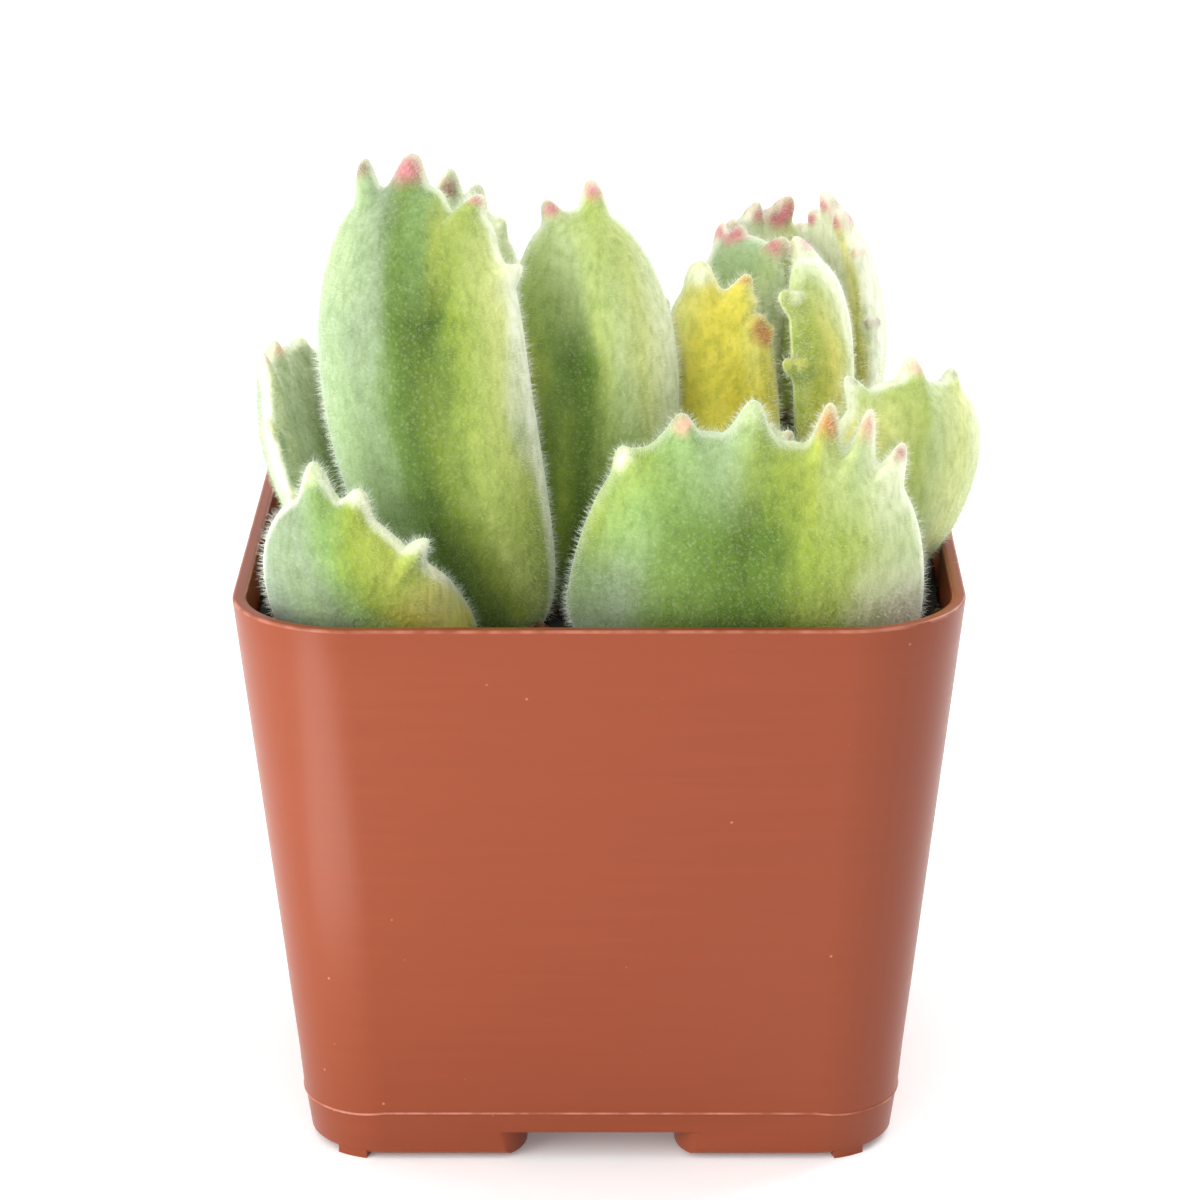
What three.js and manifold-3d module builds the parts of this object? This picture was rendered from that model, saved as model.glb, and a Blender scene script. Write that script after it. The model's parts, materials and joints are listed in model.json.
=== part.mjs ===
// A variegated bear's paw in a square nursery pot, in millimetres.
// +Z is up and the front of the pot faces -Y. The plant overhangs the pot a little on one side,
// so the origin is on the surface under the middle of the whole, not of the pot alone.
import * as THREE from "three";
import { mergeVertices } from "three/addons/utils/BufferGeometryUtils.js";
import Module from "manifold-3d";

const wasm = await Module();
wasm.setup();

// Driving dimensions of the pot: a thin moulded frustum of rounded square section.
const RIM_HEIGHT = 46.2;
const RIM_HALF_WIDTH = 28.5;
const RIM_CORNER = 9.6;
const BASE_HALF_WIDTH = 23.5;
const BASE_CORNER = 6.6;
const WALL = 1.1;
const NUB_HEIGHT = 0.45;
const NUB_WIDTH = 1.1;
const NUB_FROM = 51;
const NUB_TO = 74;
const CHANNEL_CEILING = 2.5;
const CHANNEL_HALF_WIDTH = 5.9;
const CHANNEL_MOUTH_RADIUS = 2.6;
const CHANNEL_MOUTH_DEPTH = 4;
const FLOOR_TOP = CHANNEL_CEILING + WALL;
const WELL_FLOOR = NUB_HEIGHT + WALL;
const BAND_TOP = 4.9;
const BAND_DIP = 0.9;
const BAND_INSET = 0.1;
const BAND_SLOPE = 0.12;
const BAND_TURN = 0.55;
const RIM_BEVEL = 0.3;
const DRAIN_RADIUS = 2.4;
const DRAIN_SIDES = 20;
const WELL_ROUNDNESS = 0.8;
const CORNER_STEPS = 8;
const ARC_STEPS = 6;
const OVERCUT = 2;

// Driving dimensions of the soil and the stems that stand in it.
const FIT_GAP = 0.3;
const SOIL_HEIGHT = 41.6;
const SOIL_RIM_RISE = 1.9;
const SOIL_RISE_FROM = 0.56;
const SOIL_RISE_TO = 0.96;
const SOIL_LUMP = 0.45;
const SOIL_CELL = 2.5;
const SOIL_JITTER = 0.3;
const HOLE_DEPTH = 9;
const STEM_SIDES = 12;
const STEM_STEP = 0.9;
const STEM_TAPER = 0.62;
const SWELLING = 0.12;

// A repeatable draw from 0 to 1 for anything scattered.
function makeDraw(seed) {
  let state = seed;
  return () => {
    state = (state * 1664525 + 1013904223) % 4294967296;
    return state / 4294967296;
  };
}

const mix = (a, b, t) => a + (b - a) * t;
const clamp = (x, low, high) => Math.min(high, Math.max(low, x));
const smooth = (x) => {
  const t = clamp(x, 0, 1);
  return t * t * (3 - 2 * t);
};
const radians = THREE.MathUtils.degToRad;

// A solid that can be joined and cut, from a closed geometry.
function toSolid(geometry) {
  const bare = geometry.index ? geometry.toNonIndexed() : geometry.clone();
  bare.deleteAttribute("normal");
  bare.deleteAttribute("uv");
  const merged = mergeVertices(bare, 1e-4);
  return new wasm.Manifold(
    new wasm.Mesh({
      numProp: 3,
      vertProperties: merged.attributes.position.array,
      triVerts: new Uint32Array(merged.index.array),
    }),
  );
}

function toGeometry(solid) {
  const mesh = solid.getMesh();
  const points = new Float32Array(mesh.numVert * 3);
  for (let i = 0; i < mesh.numVert; i++) {
    points.set(mesh.vertProperties.subarray(i * mesh.numProp, i * mesh.numProp + 3), i * 3);
  }
  return new THREE.BufferGeometry()
    .setAttribute("position", new THREE.BufferAttribute(points, 3))
    .setIndex(new THREE.BufferAttribute(new Uint32Array(mesh.triVerts), 1));
}

// A closed geometry from points and triangles.
function fromTriangles(points, triangles) {
  return new THREE.BufferGeometry()
    .setAttribute("position", new THREE.Float32BufferAttribute(points.flat(), 3))
    .setIndex(triangles.flat());
}

// A rounded square as a ring of points, from the middle of its right side round by the back.
function roundedSquare(half, corner) {
  const ring = [];
  const reach = (half - corner) * Math.SQRT2;
  for (let quarter = 0; quarter < 4; quarter++) {
    for (let i = 0; i <= CORNER_STEPS; i++) {
      const angle = (quarter + i / CORNER_STEPS) * (Math.PI / 2);
      const middle = (quarter + 0.5) * (Math.PI / 2);
      ring.push([
        reach * Math.cos(middle) + corner * Math.cos(angle),
        reach * Math.sin(middle) + corner * Math.sin(angle),
      ]);
    }
  }
  return ring;
}

// A closed solid through rings that all have the same number of points, lowest first.
function loft(rings) {
  const count = rings[0].length;
  const points = rings.flat();
  const triangles = [];
  for (let level = 0; level + 1 < rings.length; level++) {
    for (let i = 0; i < count; i++) {
      const a = level * count + i;
      const b = level * count + ((i + 1) % count);
      triangles.push([a, b, b + count], [a, b + count, a + count]);
    }
  }
  const top = (rings.length - 1) * count;
  for (const [start, flip] of [[0, true], [top, false]]) {
    const flat = points.slice(start, start + count).map((p) => new THREE.Vector2(p[0], p[1]));
    for (const [a, b, c] of THREE.ShapeUtils.triangulateShape(flat, [])) {
      triangles.push(flip ? [start + a, start + c, start + b] : [start + a, start + b, start + c]);
    }
  }
  return fromTriangles(points, triangles);
}

const atHeight = (ring, z) => ring.map(([x, y]) => [x, y, typeof z === "function" ? z(x, y) : z]);

// Half width and corner radius of the pot's outside at a height.
function potSection(z) {
  const t = (z - NUB_HEIGHT) / (RIM_HEIGHT - NUB_HEIGHT);
  return {
    half: mix(BASE_HALF_WIDTH, RIM_HALF_WIDTH, t),
    corner: mix(BASE_CORNER, RIM_CORNER, t),
  };
}

function potRing(z, inset = 0) {
  const { half, corner } = potSection(z);
  return roundedSquare(half - inset, corner - inset);
}

// The moulded step line near the foot runs level along each side and dips at the corners.
function bandHeight(x, y) {
  const { half, corner } = potSection(BAND_TOP);
  const towardCorner = Math.min(Math.abs(x), Math.abs(y)) / (half - corner / 2);
  return BAND_TOP - BAND_DIP * smooth((towardCorner - BAND_TURN) / (1 - BAND_TURN));
}

// One well of the floor, which hangs lower than the cross between the wells.
function wellRing(inset) {
  const { half } = potSection(CHANNEL_CEILING);
  const inner = CHANNEL_HALF_WIDTH + inset;
  const outer = half - inset;
  const middle = (inner + outer) / 2;
  const size = (outer - inner) / 2;
  const corner = Math.min(BASE_CORNER - inset, size * WELL_ROUNDNESS);
  return roundedSquare(size, corner).map(([x, y]) => [x + middle, y + middle]);
}

const QUARTERS = [[1, 1], [-1, 1], [-1, -1], [1, -1]];

// A ring in the front right quarter turned into another quarter, kept anticlockwise.
function inQuarter(ring, [sx, sy]) {
  const turned = ring.map(([x, y]) => [x * sx, y * sy]);
  return sx * sy < 0 ? turned.reverse() : turned;
}

// The space inside the pot, drawn in from its walls by a gap.
function potCavity(gap, top) {
  const inset = WALL + gap;
  const rings = [FLOOR_TOP, top].map((z) => atHeight(potRing(z, inset), z));
  let cavity = toSolid(loft(rings));
  for (const quarter of QUARTERS) {
    const well = inQuarter(wellRing(inset), quarter);
    const wellRings = [WELL_FLOOR, FLOOR_TOP + WALL].map((z) => atHeight(well, z));
    cavity = cavity.add(toSolid(loft(wellRings)));
  }
  return cavity;
}

// The cross-shaped channel under the floor, with mouths that flare where they leave the walls.
function underChannel() {
  const reach = RIM_HALF_WIDTH;
  const half = CHANNEL_HALF_WIDTH;
  const mouth = potSection(CHANNEL_CEILING).half;
  const flare = [];
  for (let i = 0; i <= ARC_STEPS; i++) {
    const angle = (i / ARC_STEPS) * (Math.PI / 2);
    flare.push([
      half + CHANNEL_MOUTH_RADIUS * (1 - Math.cos(angle)),
      mouth - CHANNEL_MOUTH_DEPTH * (1 - Math.sin(angle)),
    ]);
  }
  const side = [...flare, [half + CHANNEL_MOUTH_RADIUS, reach]];
  const mouthOutline = [...side, ...side.map(([x, y]) => [-x, y]).reverse()];
  const laneOutline = [[-half, -reach], [half, -reach], [half, reach], [-half, reach]];
  const prism = (ring) => {
    return toSolid(loft([atHeight(ring, -OVERCUT), atHeight(ring, CHANNEL_CEILING)]));
  };
  const arm = prism(laneOutline).add(prism(mouthOutline));
  const lane = arm.add(arm.rotate([0, 0, 180]));
  return lane.add(lane.rotate([0, 0, 90]));
}

// Four small arcs under the corners lift the pot off the surface.
function nub(quarter) {
  const centre = BASE_HALF_WIDTH - BASE_CORNER;
  const arc = (radius) => {
    const points = [];
    for (let i = 0; i <= ARC_STEPS; i++) {
      const angle = radians(mix(NUB_FROM, NUB_TO, i / ARC_STEPS));
      points.push([centre + radius * Math.cos(angle), centre + radius * Math.sin(angle)]);
    }
    return points;
  };
  const outer = BASE_CORNER - BAND_INSET;
  const ring = inQuarter([...arc(outer), ...arc(outer - NUB_WIDTH).reverse()], quarter);
  return toSolid(loft([atHeight(ring, 0), atHeight(ring, NUB_HEIGHT + WALL / 2)]));
}

function makePot() {
  const band = potRing(BAND_TOP - BAND_DIP, BAND_INSET);
  const above = potRing(BAND_TOP);
  const rings = [
    atHeight(potRing(NUB_HEIGHT, BAND_INSET), NUB_HEIGHT),
    atHeight(band, (x, y) => bandHeight(x, y) - BAND_SLOPE),
    atHeight(above, (x, y) => bandHeight(x, y) + BAND_SLOPE),
    atHeight(potRing(RIM_HEIGHT - RIM_BEVEL), RIM_HEIGHT - RIM_BEVEL),
    atHeight(potRing(RIM_HEIGHT, RIM_BEVEL), RIM_HEIGHT),
  ];
  let pot = toSolid(loft(rings));
  pot = pot.subtract(potCavity(0, RIM_HEIGHT + OVERCUT)).subtract(underChannel());
  for (const quarter of QUARTERS) pot = pot.add(nub(quarter));
  const length = 2 * FLOOR_TOP + OVERCUT;
  const cylinder = new THREE.CylinderGeometry(DRAIN_RADIUS, DRAIN_RADIUS, length, DRAIN_SIDES);
  cylinder.rotateX(Math.PI / 2);
  const drain = toSolid(cylinder);
  pot = pot.subtract(drain);
  const well = (CHANNEL_HALF_WIDTH + BASE_HALF_WIDTH) / 2;
  for (const [sx, sy] of QUARTERS) pot = pot.subtract(drain.translate([sx * well, sy * well, 0]));
  return pot;
}

// Stems: short woody shoots, each a tapering column with a swollen ring where leaves join.
const STEMS = {
  stem_left: { foot: [-5.5, -7], lean: [-0.5, 1.5], top: 56.4, radius: 2.4, nodes: [43.4, 47.4, 51.9] },
  stem_right: { foot: [15.4, 7.4], lean: [0.4, 0.4], top: 53.4, radius: 2.1, nodes: [43.9, 47.9] },
  stem_front: { foot: [15, -8.4], lean: [-0.6, 0.4], top: 49.4, radius: 2.3, nodes: [42.9, 45.9] },
};

function stemRadius(stem, z) {
  const taper = mix(1, STEM_TAPER, clamp((z - SOIL_HEIGHT) / (stem.top - SOIL_HEIGHT), 0, 1));
  const swell = stem.nodes.reduce((sum, node) => sum + Math.exp(-(((z - node) / STEM_STEP) ** 2)), 0);
  return stem.radius * (taper + SWELLING * swell);
}

function stemCentre(stem, z) {
  const t = clamp((z - SOIL_HEIGHT) / (stem.top - SOIL_HEIGHT), 0, 1);
  return [stem.foot[0] + stem.lean[0] * t, stem.foot[1] + stem.lean[1] * t];
}

function makeStem(stem, grow = 0) {
  const heights = [SOIL_HEIGHT - HOLE_DEPTH];
  for (let z = SOIL_HEIGHT; z < stem.top - STEM_STEP / 2; z += STEM_STEP) heights.push(z);
  heights.push(stem.top);
  const rings = heights.map((z) => {
    const [cx, cy] = stemCentre(stem, z);
    const rounded = z === stem.top ? STEM_TAPER : 1;
    const radius = stemRadius(stem, z) * rounded + grow;
    const ring = [];
    for (let i = 0; i < STEM_SIDES; i++) {
      const angle = (i / STEM_SIDES) * 2 * Math.PI;
      ring.push([cx + radius * Math.cos(angle), cy + radius * Math.sin(angle), z]);
    }
    return ring;
  });
  return toSolid(loft(rings));
}

// Leaves. Each follows a curve from base through belly to tip, with its outer face turned to
// `face` degrees (0 is the front, 90 the right). half is half its width at the place that widest
// gives as a share of its length, outer and inner are how far its two faces bulge, cup is how far
// its sides fold in, and apex and taper are powers that square its ends off (low) or point them.
// A tooth is [degrees round the margin from the apex, length, half width], and the margin runs
// from -180 at the left of the base to 180. A notch between teeth is [degrees, depth, half width].
// The last three leaves are behind the others.
const LEAVES = {
  leaf_left_tall: {
    color: "#9fb57e",
    base: [-6.4, -11.6, 39.9], belly: [-16.2, -16.4, 56.4], tip: [-13.9, -9.2, 76.2],
    face: -14, half: 8.5, outer: 4.9, inner: 3.2, cup: 1.2, widest: 0.6, apex: 0.66, taper: 0.8,
    teeth: [[-20.2, 2.6, 1.3], [-1.6, 2.3, 2], [23.4, 1.4, 1.2], [58.9, 1.4, 1.2]],
    notches: [[14.8, 1.4, 2.2], [48.7, 0.4, 2.4]],
  },
  leaf_centre_tall: {
    color: "#b5c882",
    base: [-2.4, -9, 41.2], belly: [2.2, -8.5, 57.4], tip: [-2.5, -4, 73],
    face: 12, half: 6.8, outer: 4, inner: 2.6, cup: 1, widest: 0.58, apex: 0.86, taper: 0.65,
    teeth: [[-8.6, 1.5, 1.2], [14.5, 2.3, 1.5]],
  },
  leaf_left_behind: {
    color: "#b9b78c",
    base: [-7.5, -3, 45.4], belly: [-13, 4.6, 56.4], tip: [-11.4, 2, 72.4],
    face: 172, half: 6.4, outer: 4, inner: 2.2, cup: 1.4, widest: 0.6, apex: 0.8, taper: 1.2,
    teeth: [[-30.2, 0.8, 1.2], [-8.6, 1.7, 1.5], [4.3, 2.4, 1.7], [60, 1.4, 1.2]],
  },
  leaf_left_side: {
    color: "#a7bd8c",
    base: [-9.4, -5, 43], belly: [-24, -2.2, 43.6], tip: [-24.9, 2.4, 60.4],
    face: -124, half: 6.6, outer: 3.2, inner: 1.7, cup: 1.6, widest: 0.6, apex: 0.72, taper: 1,
    teeth: [
      [-46, 1.5, 1.2], [-3.2, 0.6, 1.2], [19.1, 0.9, 1.2], [39.2, 2.3, 1], [66, 1.5, 1.1],
      [92, 1.4, 1.1],
    ],
  },
  leaf_front_left: {
    color: "#a9c084",
    base: [-9.8, -14.8, 40.4], belly: [-19.8, -23.3, 41.4], tip: [-22.1, -21.4, 54.8],
    face: -14, half: 6.8, outer: 3, inner: 1.9, cup: 1, widest: 0.5, apex: 0.9, taper: 0.85,
    teeth: [[4.2, 2.1, 1.9], [29.6, 1.5, 1.7], [70.9, 2.6, 2]],
    notches: [[66.7, 0.7, 1.4]],
  },
  leaf_front_right: {
    color: "#9cbf78",
    base: [10.4, -13, 38.4], belly: [11, -24.2, 42], tip: [13.3, -20.4, 59],
    face: 2, half: 13.8, outer: 4.8, inner: 2.6, cup: 2, widest: 0.38, apex: 0.44, taper: 0.42,
    teeth: [
      [-38, 0.9, 1.4], [-12.4, 1, 1.7], [-0.5, 1.9, 2.3], [3.7, 2.3, 1.7], [12.7, 2.5, 1.4],
      [27, 2, 1.4],
    ],
    notches: [[-24.6, 0.3, 1.2]],
  },
  leaf_right_side: {
    color: "#d0d4a2",
    base: [17.8, -9, 43.1], belly: [24.7, -10.6, 50], tip: [25.7, -7.8, 60.2],
    face: 33, half: 7.4, outer: 3, inner: 2.1, cup: 0.9, widest: 0.6, apex: 0.66, taper: 0.9,
    teeth: [[-48.2, 2.5, 1.2], [-5.3, 1.7, 1.6], [12.1, 1.2, 1.3]],
  },
  leaf_yellow: {
    color: "#cbc150",
    base: [11.8, -6, 42.9], belly: [9, -3.2, 54.4], tip: [9.4, -0.6, 66.6],
    face: -10, half: 4.7, outer: 2.6, inner: 1.8, cup: 0.6, widest: 0.6, apex: 0.66, taper: 1,
    teeth: [[-9.9, 1.5, 2], [19.5, 1, 1.1], [60.3, 0.6, 1.1]],
    notches: [[2.4, 0.8, 1.3], [43.1, 0.6, 0.8]],
  },
  leaf_pair_front: {
    color: "#c2cc6e",
    base: [16.2, 3, 45.4], belly: [19.6, 0.6, 57.4], tip: [16.2, 2.8, 67.6],
    face: 80, half: 4.8, outer: 2.7, inner: 1.5, cup: 1.4, widest: 0.6, apex: 0.7, taper: 1.1,
    teeth: [[-88.4, 1.8, 1.2], [-54.3, 1.8, 1.2], [0.6, 1.8, 1.2], [36, 1.4, 1.1]],
  },
  leaf_pair_back: {
    color: "#a0bb92",
    base: [13.4, 9.8, 44.9], belly: [11, 14.4, 57.4], tip: [13.3, 12.8, 68.6],
    face: -142, half: 5.2, outer: 2.8, inner: 1.5, cup: 1.6, widest: 0.66, apex: 0.6, taper: 1.1,
    teeth: [[-12.1, 2.1, 1], [-4.7, 0.9, 0.8], [2.9, 1.5, 0.9], [30, 1.4, 1], [58, 1.4, 1.1]],
  },
  leaf_pair_left: {
    color: "#a4bcae",
    base: [13, 4.2, 45.9], belly: [8.8, 3.6, 57.4], tip: [12.2, 6.1, 68.6],
    face: -40, half: 4.4, outer: 2.3, inner: 1.3, cup: 1, widest: 0.66, apex: 0.6, taper: 1.1,
    teeth: [[-32.4, 1.6, 0.9], [-6.1, 0.6, 0.9], [28, 1.5, 1.1]],
  },
  leaf_right_behind: {
    color: "#dddf9e",
    base: [19, 10.6, 44.9], belly: [22.7, 12.8, 58.4], tip: [18.2, 14.4, 68.4],
    face: 118, half: 5.2, outer: 2.6, inner: 1.4, cup: 0.8, widest: 0.6, apex: 0.7, taper: 1.1,
    teeth: [
      [-92, 1.2, 1], [-60, 1.4, 1], [-33, 1.6, 1.2], [-13.1, 2.3, 1.1], [6.1, 0.7, 0.9],
      [34, 1.5, 1.1],
    ],
  },
  leaf_bud_left: {
    color: "#a9bb7c",
    base: [-6.6, -4.8, 55.4], belly: [-8, -4.2, 58.4], tip: [-7, -5, 62],
    face: -110, half: 2, outer: 1.1, inner: 0.7, cup: 0.5, widest: 0.6, apex: 0.75, taper: 1,
    teeth: [[-30, 0.6, 0.7], [4, 0.8, 0.7], [36, 0.6, 0.7]],
  },
  leaf_bud_front: {
    color: "#b3c27e",
    base: [13.8, -7.6, 49], belly: [13.4, -6, 52], tip: [13.8, -7.4, 55.8],
    face: -170, half: 2.1, outer: 1.1, inner: 0.7, cup: 0.5, widest: 0.6, apex: 0.75, taper: 1,
    teeth: [[-30, 0.6, 0.7], [4, 0.8, 0.7], [36, 0.6, 0.7]],
  },
  leaf_back_centre: {
    color: "#a3b97e",
    base: [-3, -2.8, 42.9], belly: [0, 10, 43.4], tip: [0.6, 17.6, 60.4],
    face: 178, half: 7, outer: 4.2, inner: 2.4, cup: 1.2, widest: 0.6, apex: 0.68, taper: 0.9,
    teeth: [[-58, 1.4, 1.3], [-30, 1.6, 1.4], [-4, 2, 1.6], [24, 1.7, 1.4], [54, 1.4, 1.3]],
  },
  leaf_back_left: {
    color: "#b2c48a",
    base: [-8.4, -2.2, 43], belly: [-15.6, 10.8, 43.4], tip: [-17.8, 16.2, 58.9],
    face: -150, half: 6.6, outer: 3.8, inner: 2.3, cup: 1.2, widest: 0.6, apex: 0.68, taper: 0.9,
    teeth: [[-56, 1.4, 1.3], [-26, 1.7, 1.4], [2, 1.9, 1.5], [30, 1.7, 1.4], [60, 1.4, 1.2]],
  },
  leaf_back_right: {
    color: "#9cb478",
    base: [15.8, 11, 43], belly: [16.6, 19.6, 43.9], tip: [17, 22.4, 57.8],
    face: 176, half: 6.8, outer: 3, inner: 2, cup: 1.2, widest: 0.58, apex: 0.66, taper: 0.9,
    teeth: [[-54, 1.4, 1.2], [-26, 1.6, 1.3], [0, 1.8, 1.4], [28, 1.6, 1.3], [56, 1.4, 1.2]],
  },
};

// How near the leaf's midline reaches to its base and apex, as shares of the way.
const MEDIAL_BASE = 0.8;
const MEDIAL_APEX = 0.5;

// How thick the flesh is at the base and near the apex, as shares of the belly's, and how it
// rounds off from the midline (0) to the margin (1).
const THIN_BASE = 0.55;
const THIN_APEX = 0.78;
const ROUNDING = 2.2;
const EDGE_BLUNTNESS = 0.6;

// How far teeth turn from the margin's normal to the leaf's own direction, how thick their roots
// are for their width, and where along each half width the margin is drawn.
const TOOTH_RAKE = 0.45;
const TOOTH_ROOT = 0.62;
const TOOTH_STOPS = [-0.96, -0.42, 0, 0.42, 0.96];
const MARGIN_STEP = 2.8;
const RINGS = [0.36, 0.68, 0.89, 1];

// A point of the toothless margin, as [across, along], at an angle from the apex.
function marginPoint(leaf, degrees) {
  const angle = radians(degrees);
  const length = leaf.length;
  const middle = leaf.widest * length;
  const side = Math.sign(Math.sin(angle));
  const spread = Math.abs(Math.sin(angle));
  const rise = Math.cos(angle);
  const power = rise > 0 ? leaf.apex : mix(leaf.apex, leaf.taper, smooth(-rise * 2));
  const across = side * leaf.half * spread ** power;
  const along = rise > 0 ? middle + (length - middle) * rise ** (0.5 + leaf.apex / 2) : middle * (1 + rise);
  return [across, along];
}

// How much of a tooth or notch is left at an angle, from 0 to 1 at its middle.
function marginWave(leaf, degrees, [at, , half]) {
  const [x0, y0] = marginPoint(leaf, at);
  const [x1, y1] = marginPoint(leaf, degrees);
  const away = Math.hypot(x1 - x0, y1 - y0) / half;
  return away < 1 ? 0.5 * (1 + Math.cos(Math.PI * away)) : 0;
}

// The angles at which the margin is drawn: evenly along it, and at each tooth's roots and tip.
function marginAngles(leaf) {
  const walk = [{ degrees: -180, run: 0 }];
  for (let degrees = -179.5; degrees < 180; degrees += 0.5) {
    const [x0, y0] = marginPoint(leaf, degrees - 0.5);
    const [x1, y1] = marginPoint(leaf, degrees);
    walk.push({ degrees, run: walk.at(-1).run + Math.hypot(x1 - x0, y1 - y0) });
  }
  const total = walk.at(-1).run;
  const runAt = (degrees) => walk.find((step) => step.degrees >= degrees).run;
  const runs = [];
  for (const [at, , half] of leaf.teeth) {
    for (const stop of TOOTH_STOPS) runs.push(runAt(at) + stop * half);
  }
  const steps = Math.round(total / MARGIN_STEP);
  for (let i = 0; i < steps; i++) {
    const run = (i / steps) * total;
    const clear = runs.every((other) => Math.abs(other - run) > MARGIN_STEP / 2);
    if (i === 0 || clear) runs.push(run);
  }
  runs.sort((a, b) => a - b);
  const spaced = runs.filter((run, i) => i === 0 || run - runs[i - 1] > MARGIN_STEP / 10);
  return spaced.map((run) => walk.find((step) => step.run >= run).degrees);
}

// Thickness of one face over the midline at a distance along the leaf.
function faceThickness(leaf, along, full) {
  const middle = leaf.widest * leaf.length;
  if (along <= middle) return full * mix(THIN_BASE, 1, smooth(along / middle));
  return full * mix(1, THIN_APEX, ((along - middle) / (leaf.length - middle)) ** 2);
}

// Maps across, along and height over the leaf's plane to its bent place in space.
function leafFrame(leaf) {
  const [base, belly, tip] = [leaf.base, leaf.belly, leaf.tip].map((p) => new THREE.Vector3(...p));
  const face = new THREE.Vector3(Math.sin(radians(leaf.face)), -Math.cos(radians(leaf.face)), 0);
  return (across, along, height) => {
    const s = along / leaf.length;
    const r = 1 - s;
    const spine = base.clone().multiplyScalar(r * r);
    spine.addScaledVector(belly, 2 * s * r).addScaledVector(tip, s * s);
    const tangent = belly.clone().sub(base).multiplyScalar(r);
    tangent.addScaledVector(tip.clone().sub(belly), s).normalize();
    const outward = face.clone().addScaledVector(tangent, -face.dot(tangent)).normalize();
    const right = tangent.clone().cross(outward);
    const drawn = height - leaf.cup * (across / leaf.half) ** 2;
    return spine.addScaledVector(right, across).addScaledVector(outward, drawn);
  };
}

function curveLength({ base, belly, tip }) {
  const curve = new THREE.QuadraticBezierCurve3(
    new THREE.Vector3(...base),
    new THREE.Vector3(...belly),
    new THREE.Vector3(...tip),
  );
  return curve.getLength();
}

// What stands at one place of the margin: where it is, how its tooth lifts and thickens it, how a
// notch lowers it, and the place on the midline that it is filled from.
function marginColumn(leaf, degrees, grow) {
  const [x, y] = marginPoint(leaf, degrees);
  const before = new THREE.Vector2(...marginPoint(leaf, degrees - 1));
  const along = new THREE.Vector2(...marginPoint(leaf, degrees + 1)).sub(before).normalize();
  let rise = 0;
  let claw = 0;
  let depth = 0;
  for (const tooth of leaf.teeth) {
    const [, long, half] = tooth;
    const share = marginWave(leaf, degrees, tooth);
    rise = Math.max(rise, share * long);
    claw = Math.max(claw, share * half * TOOTH_ROOT);
  }
  for (const notch of leaf.notches ?? []) {
    depth = Math.max(depth, marginWave(leaf, degrees, notch) * notch[1]);
  }
  const normal = new THREE.Vector2(-along.y, along.x);
  const lift = normal.clone().multiplyScalar(rise * (1 - TOOTH_RAKE) + grow);
  lift.y += rise * TOOTH_RAKE;
  const dip = normal.multiplyScalar(-depth);
  const middle = leaf.widest * leaf.length;
  const medial = middle + (y - middle) * (y < middle ? MEDIAL_BASE : MEDIAL_APEX);
  return { x, y, lift, dip, claw, medial };
}

// A fleshy leaf: a toothed outline filled from its midline, thick in the middle on both faces.
function makeLeaf(spec, grow = 0) {
  const leaf = { ...spec, length: curveLength(spec) };
  const place = leafFrame(leaf);
  const columns = marginAngles(leaf).map((degrees) => marginColumn(leaf, degrees, grow));
  const count = columns.length;
  const last = RINGS.length - 1;
  const points = [];
  for (const [full, side] of [[leaf.outer, 1], [leaf.inner, -1]]) {
    RINGS.forEach((t, ring) => {
      for (const { x, y, lift, dip, claw, medial } of columns) {
        const edge = ring === last;
        const body = faceThickness(leaf, medial, full) * (1 - t ** ROUNDING) ** EDGE_BLUNTNESS;
        const flesh = Math.max(body, ring === last - 1 ? claw : 0) + grow;
        const across = x * t + dip.x * t * t + (edge ? lift.x : 0);
        const along = mix(medial, y, t) + dip.y * t * t + (edge ? lift.y : 0);
        points.push(place(across, along, edge ? 0 : flesh * side).toArray());
      }
    });
  }
  const inside = RINGS.length * count;
  const triangles = [];
  for (let ring = 0; ring < last; ring++) {
    for (let column = 0; column < count; column++) {
      for (const side of [0, inside]) {
        const next = (column + 1) % count;
        const shared = ring + 1 === last ? 0 : side;
        const a = side + ring * count + column;
        const b = shared + (ring + 1) * count + column;
        const c = shared + (ring + 1) * count + next;
        const d = side + ring * count + next;
        if (side === 0) triangles.push([a, d, c], [a, c, b]);
        else triangles.push([a, c, d], [a, b, c]);
      }
    }
  }
  let left = 0;
  let right = count - 1;
  const reach = (column) => mix(columns[column].medial, columns[column].y, RINGS[0]);
  while (right - left > 1) {
    const climbLeft = reach(left + 1) < reach(right - 1);
    const next = climbLeft ? left + 1 : right - 1;
    triangles.push([left, right, next], [inside + left, inside + next, inside + right]);
    if (climbLeft) left = next;
    else right = next;
  }
  return toSolid(fromTriangles(points, triangles));
}

// Potting mix: lumpy on top, a little higher along the walls than where the stems stand.
function soilHeight(x, y, draw) {
  const edge = Math.max(Math.abs(x), Math.abs(y)) / RIM_HALF_WIDTH;
  const rise = smooth((edge - SOIL_RISE_FROM) / (SOIL_RISE_TO - SOIL_RISE_FROM));
  return SOIL_HEIGHT + SOIL_RIM_RISE * rise + SOIL_LUMP * (2 * draw() - 1);
}

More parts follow.
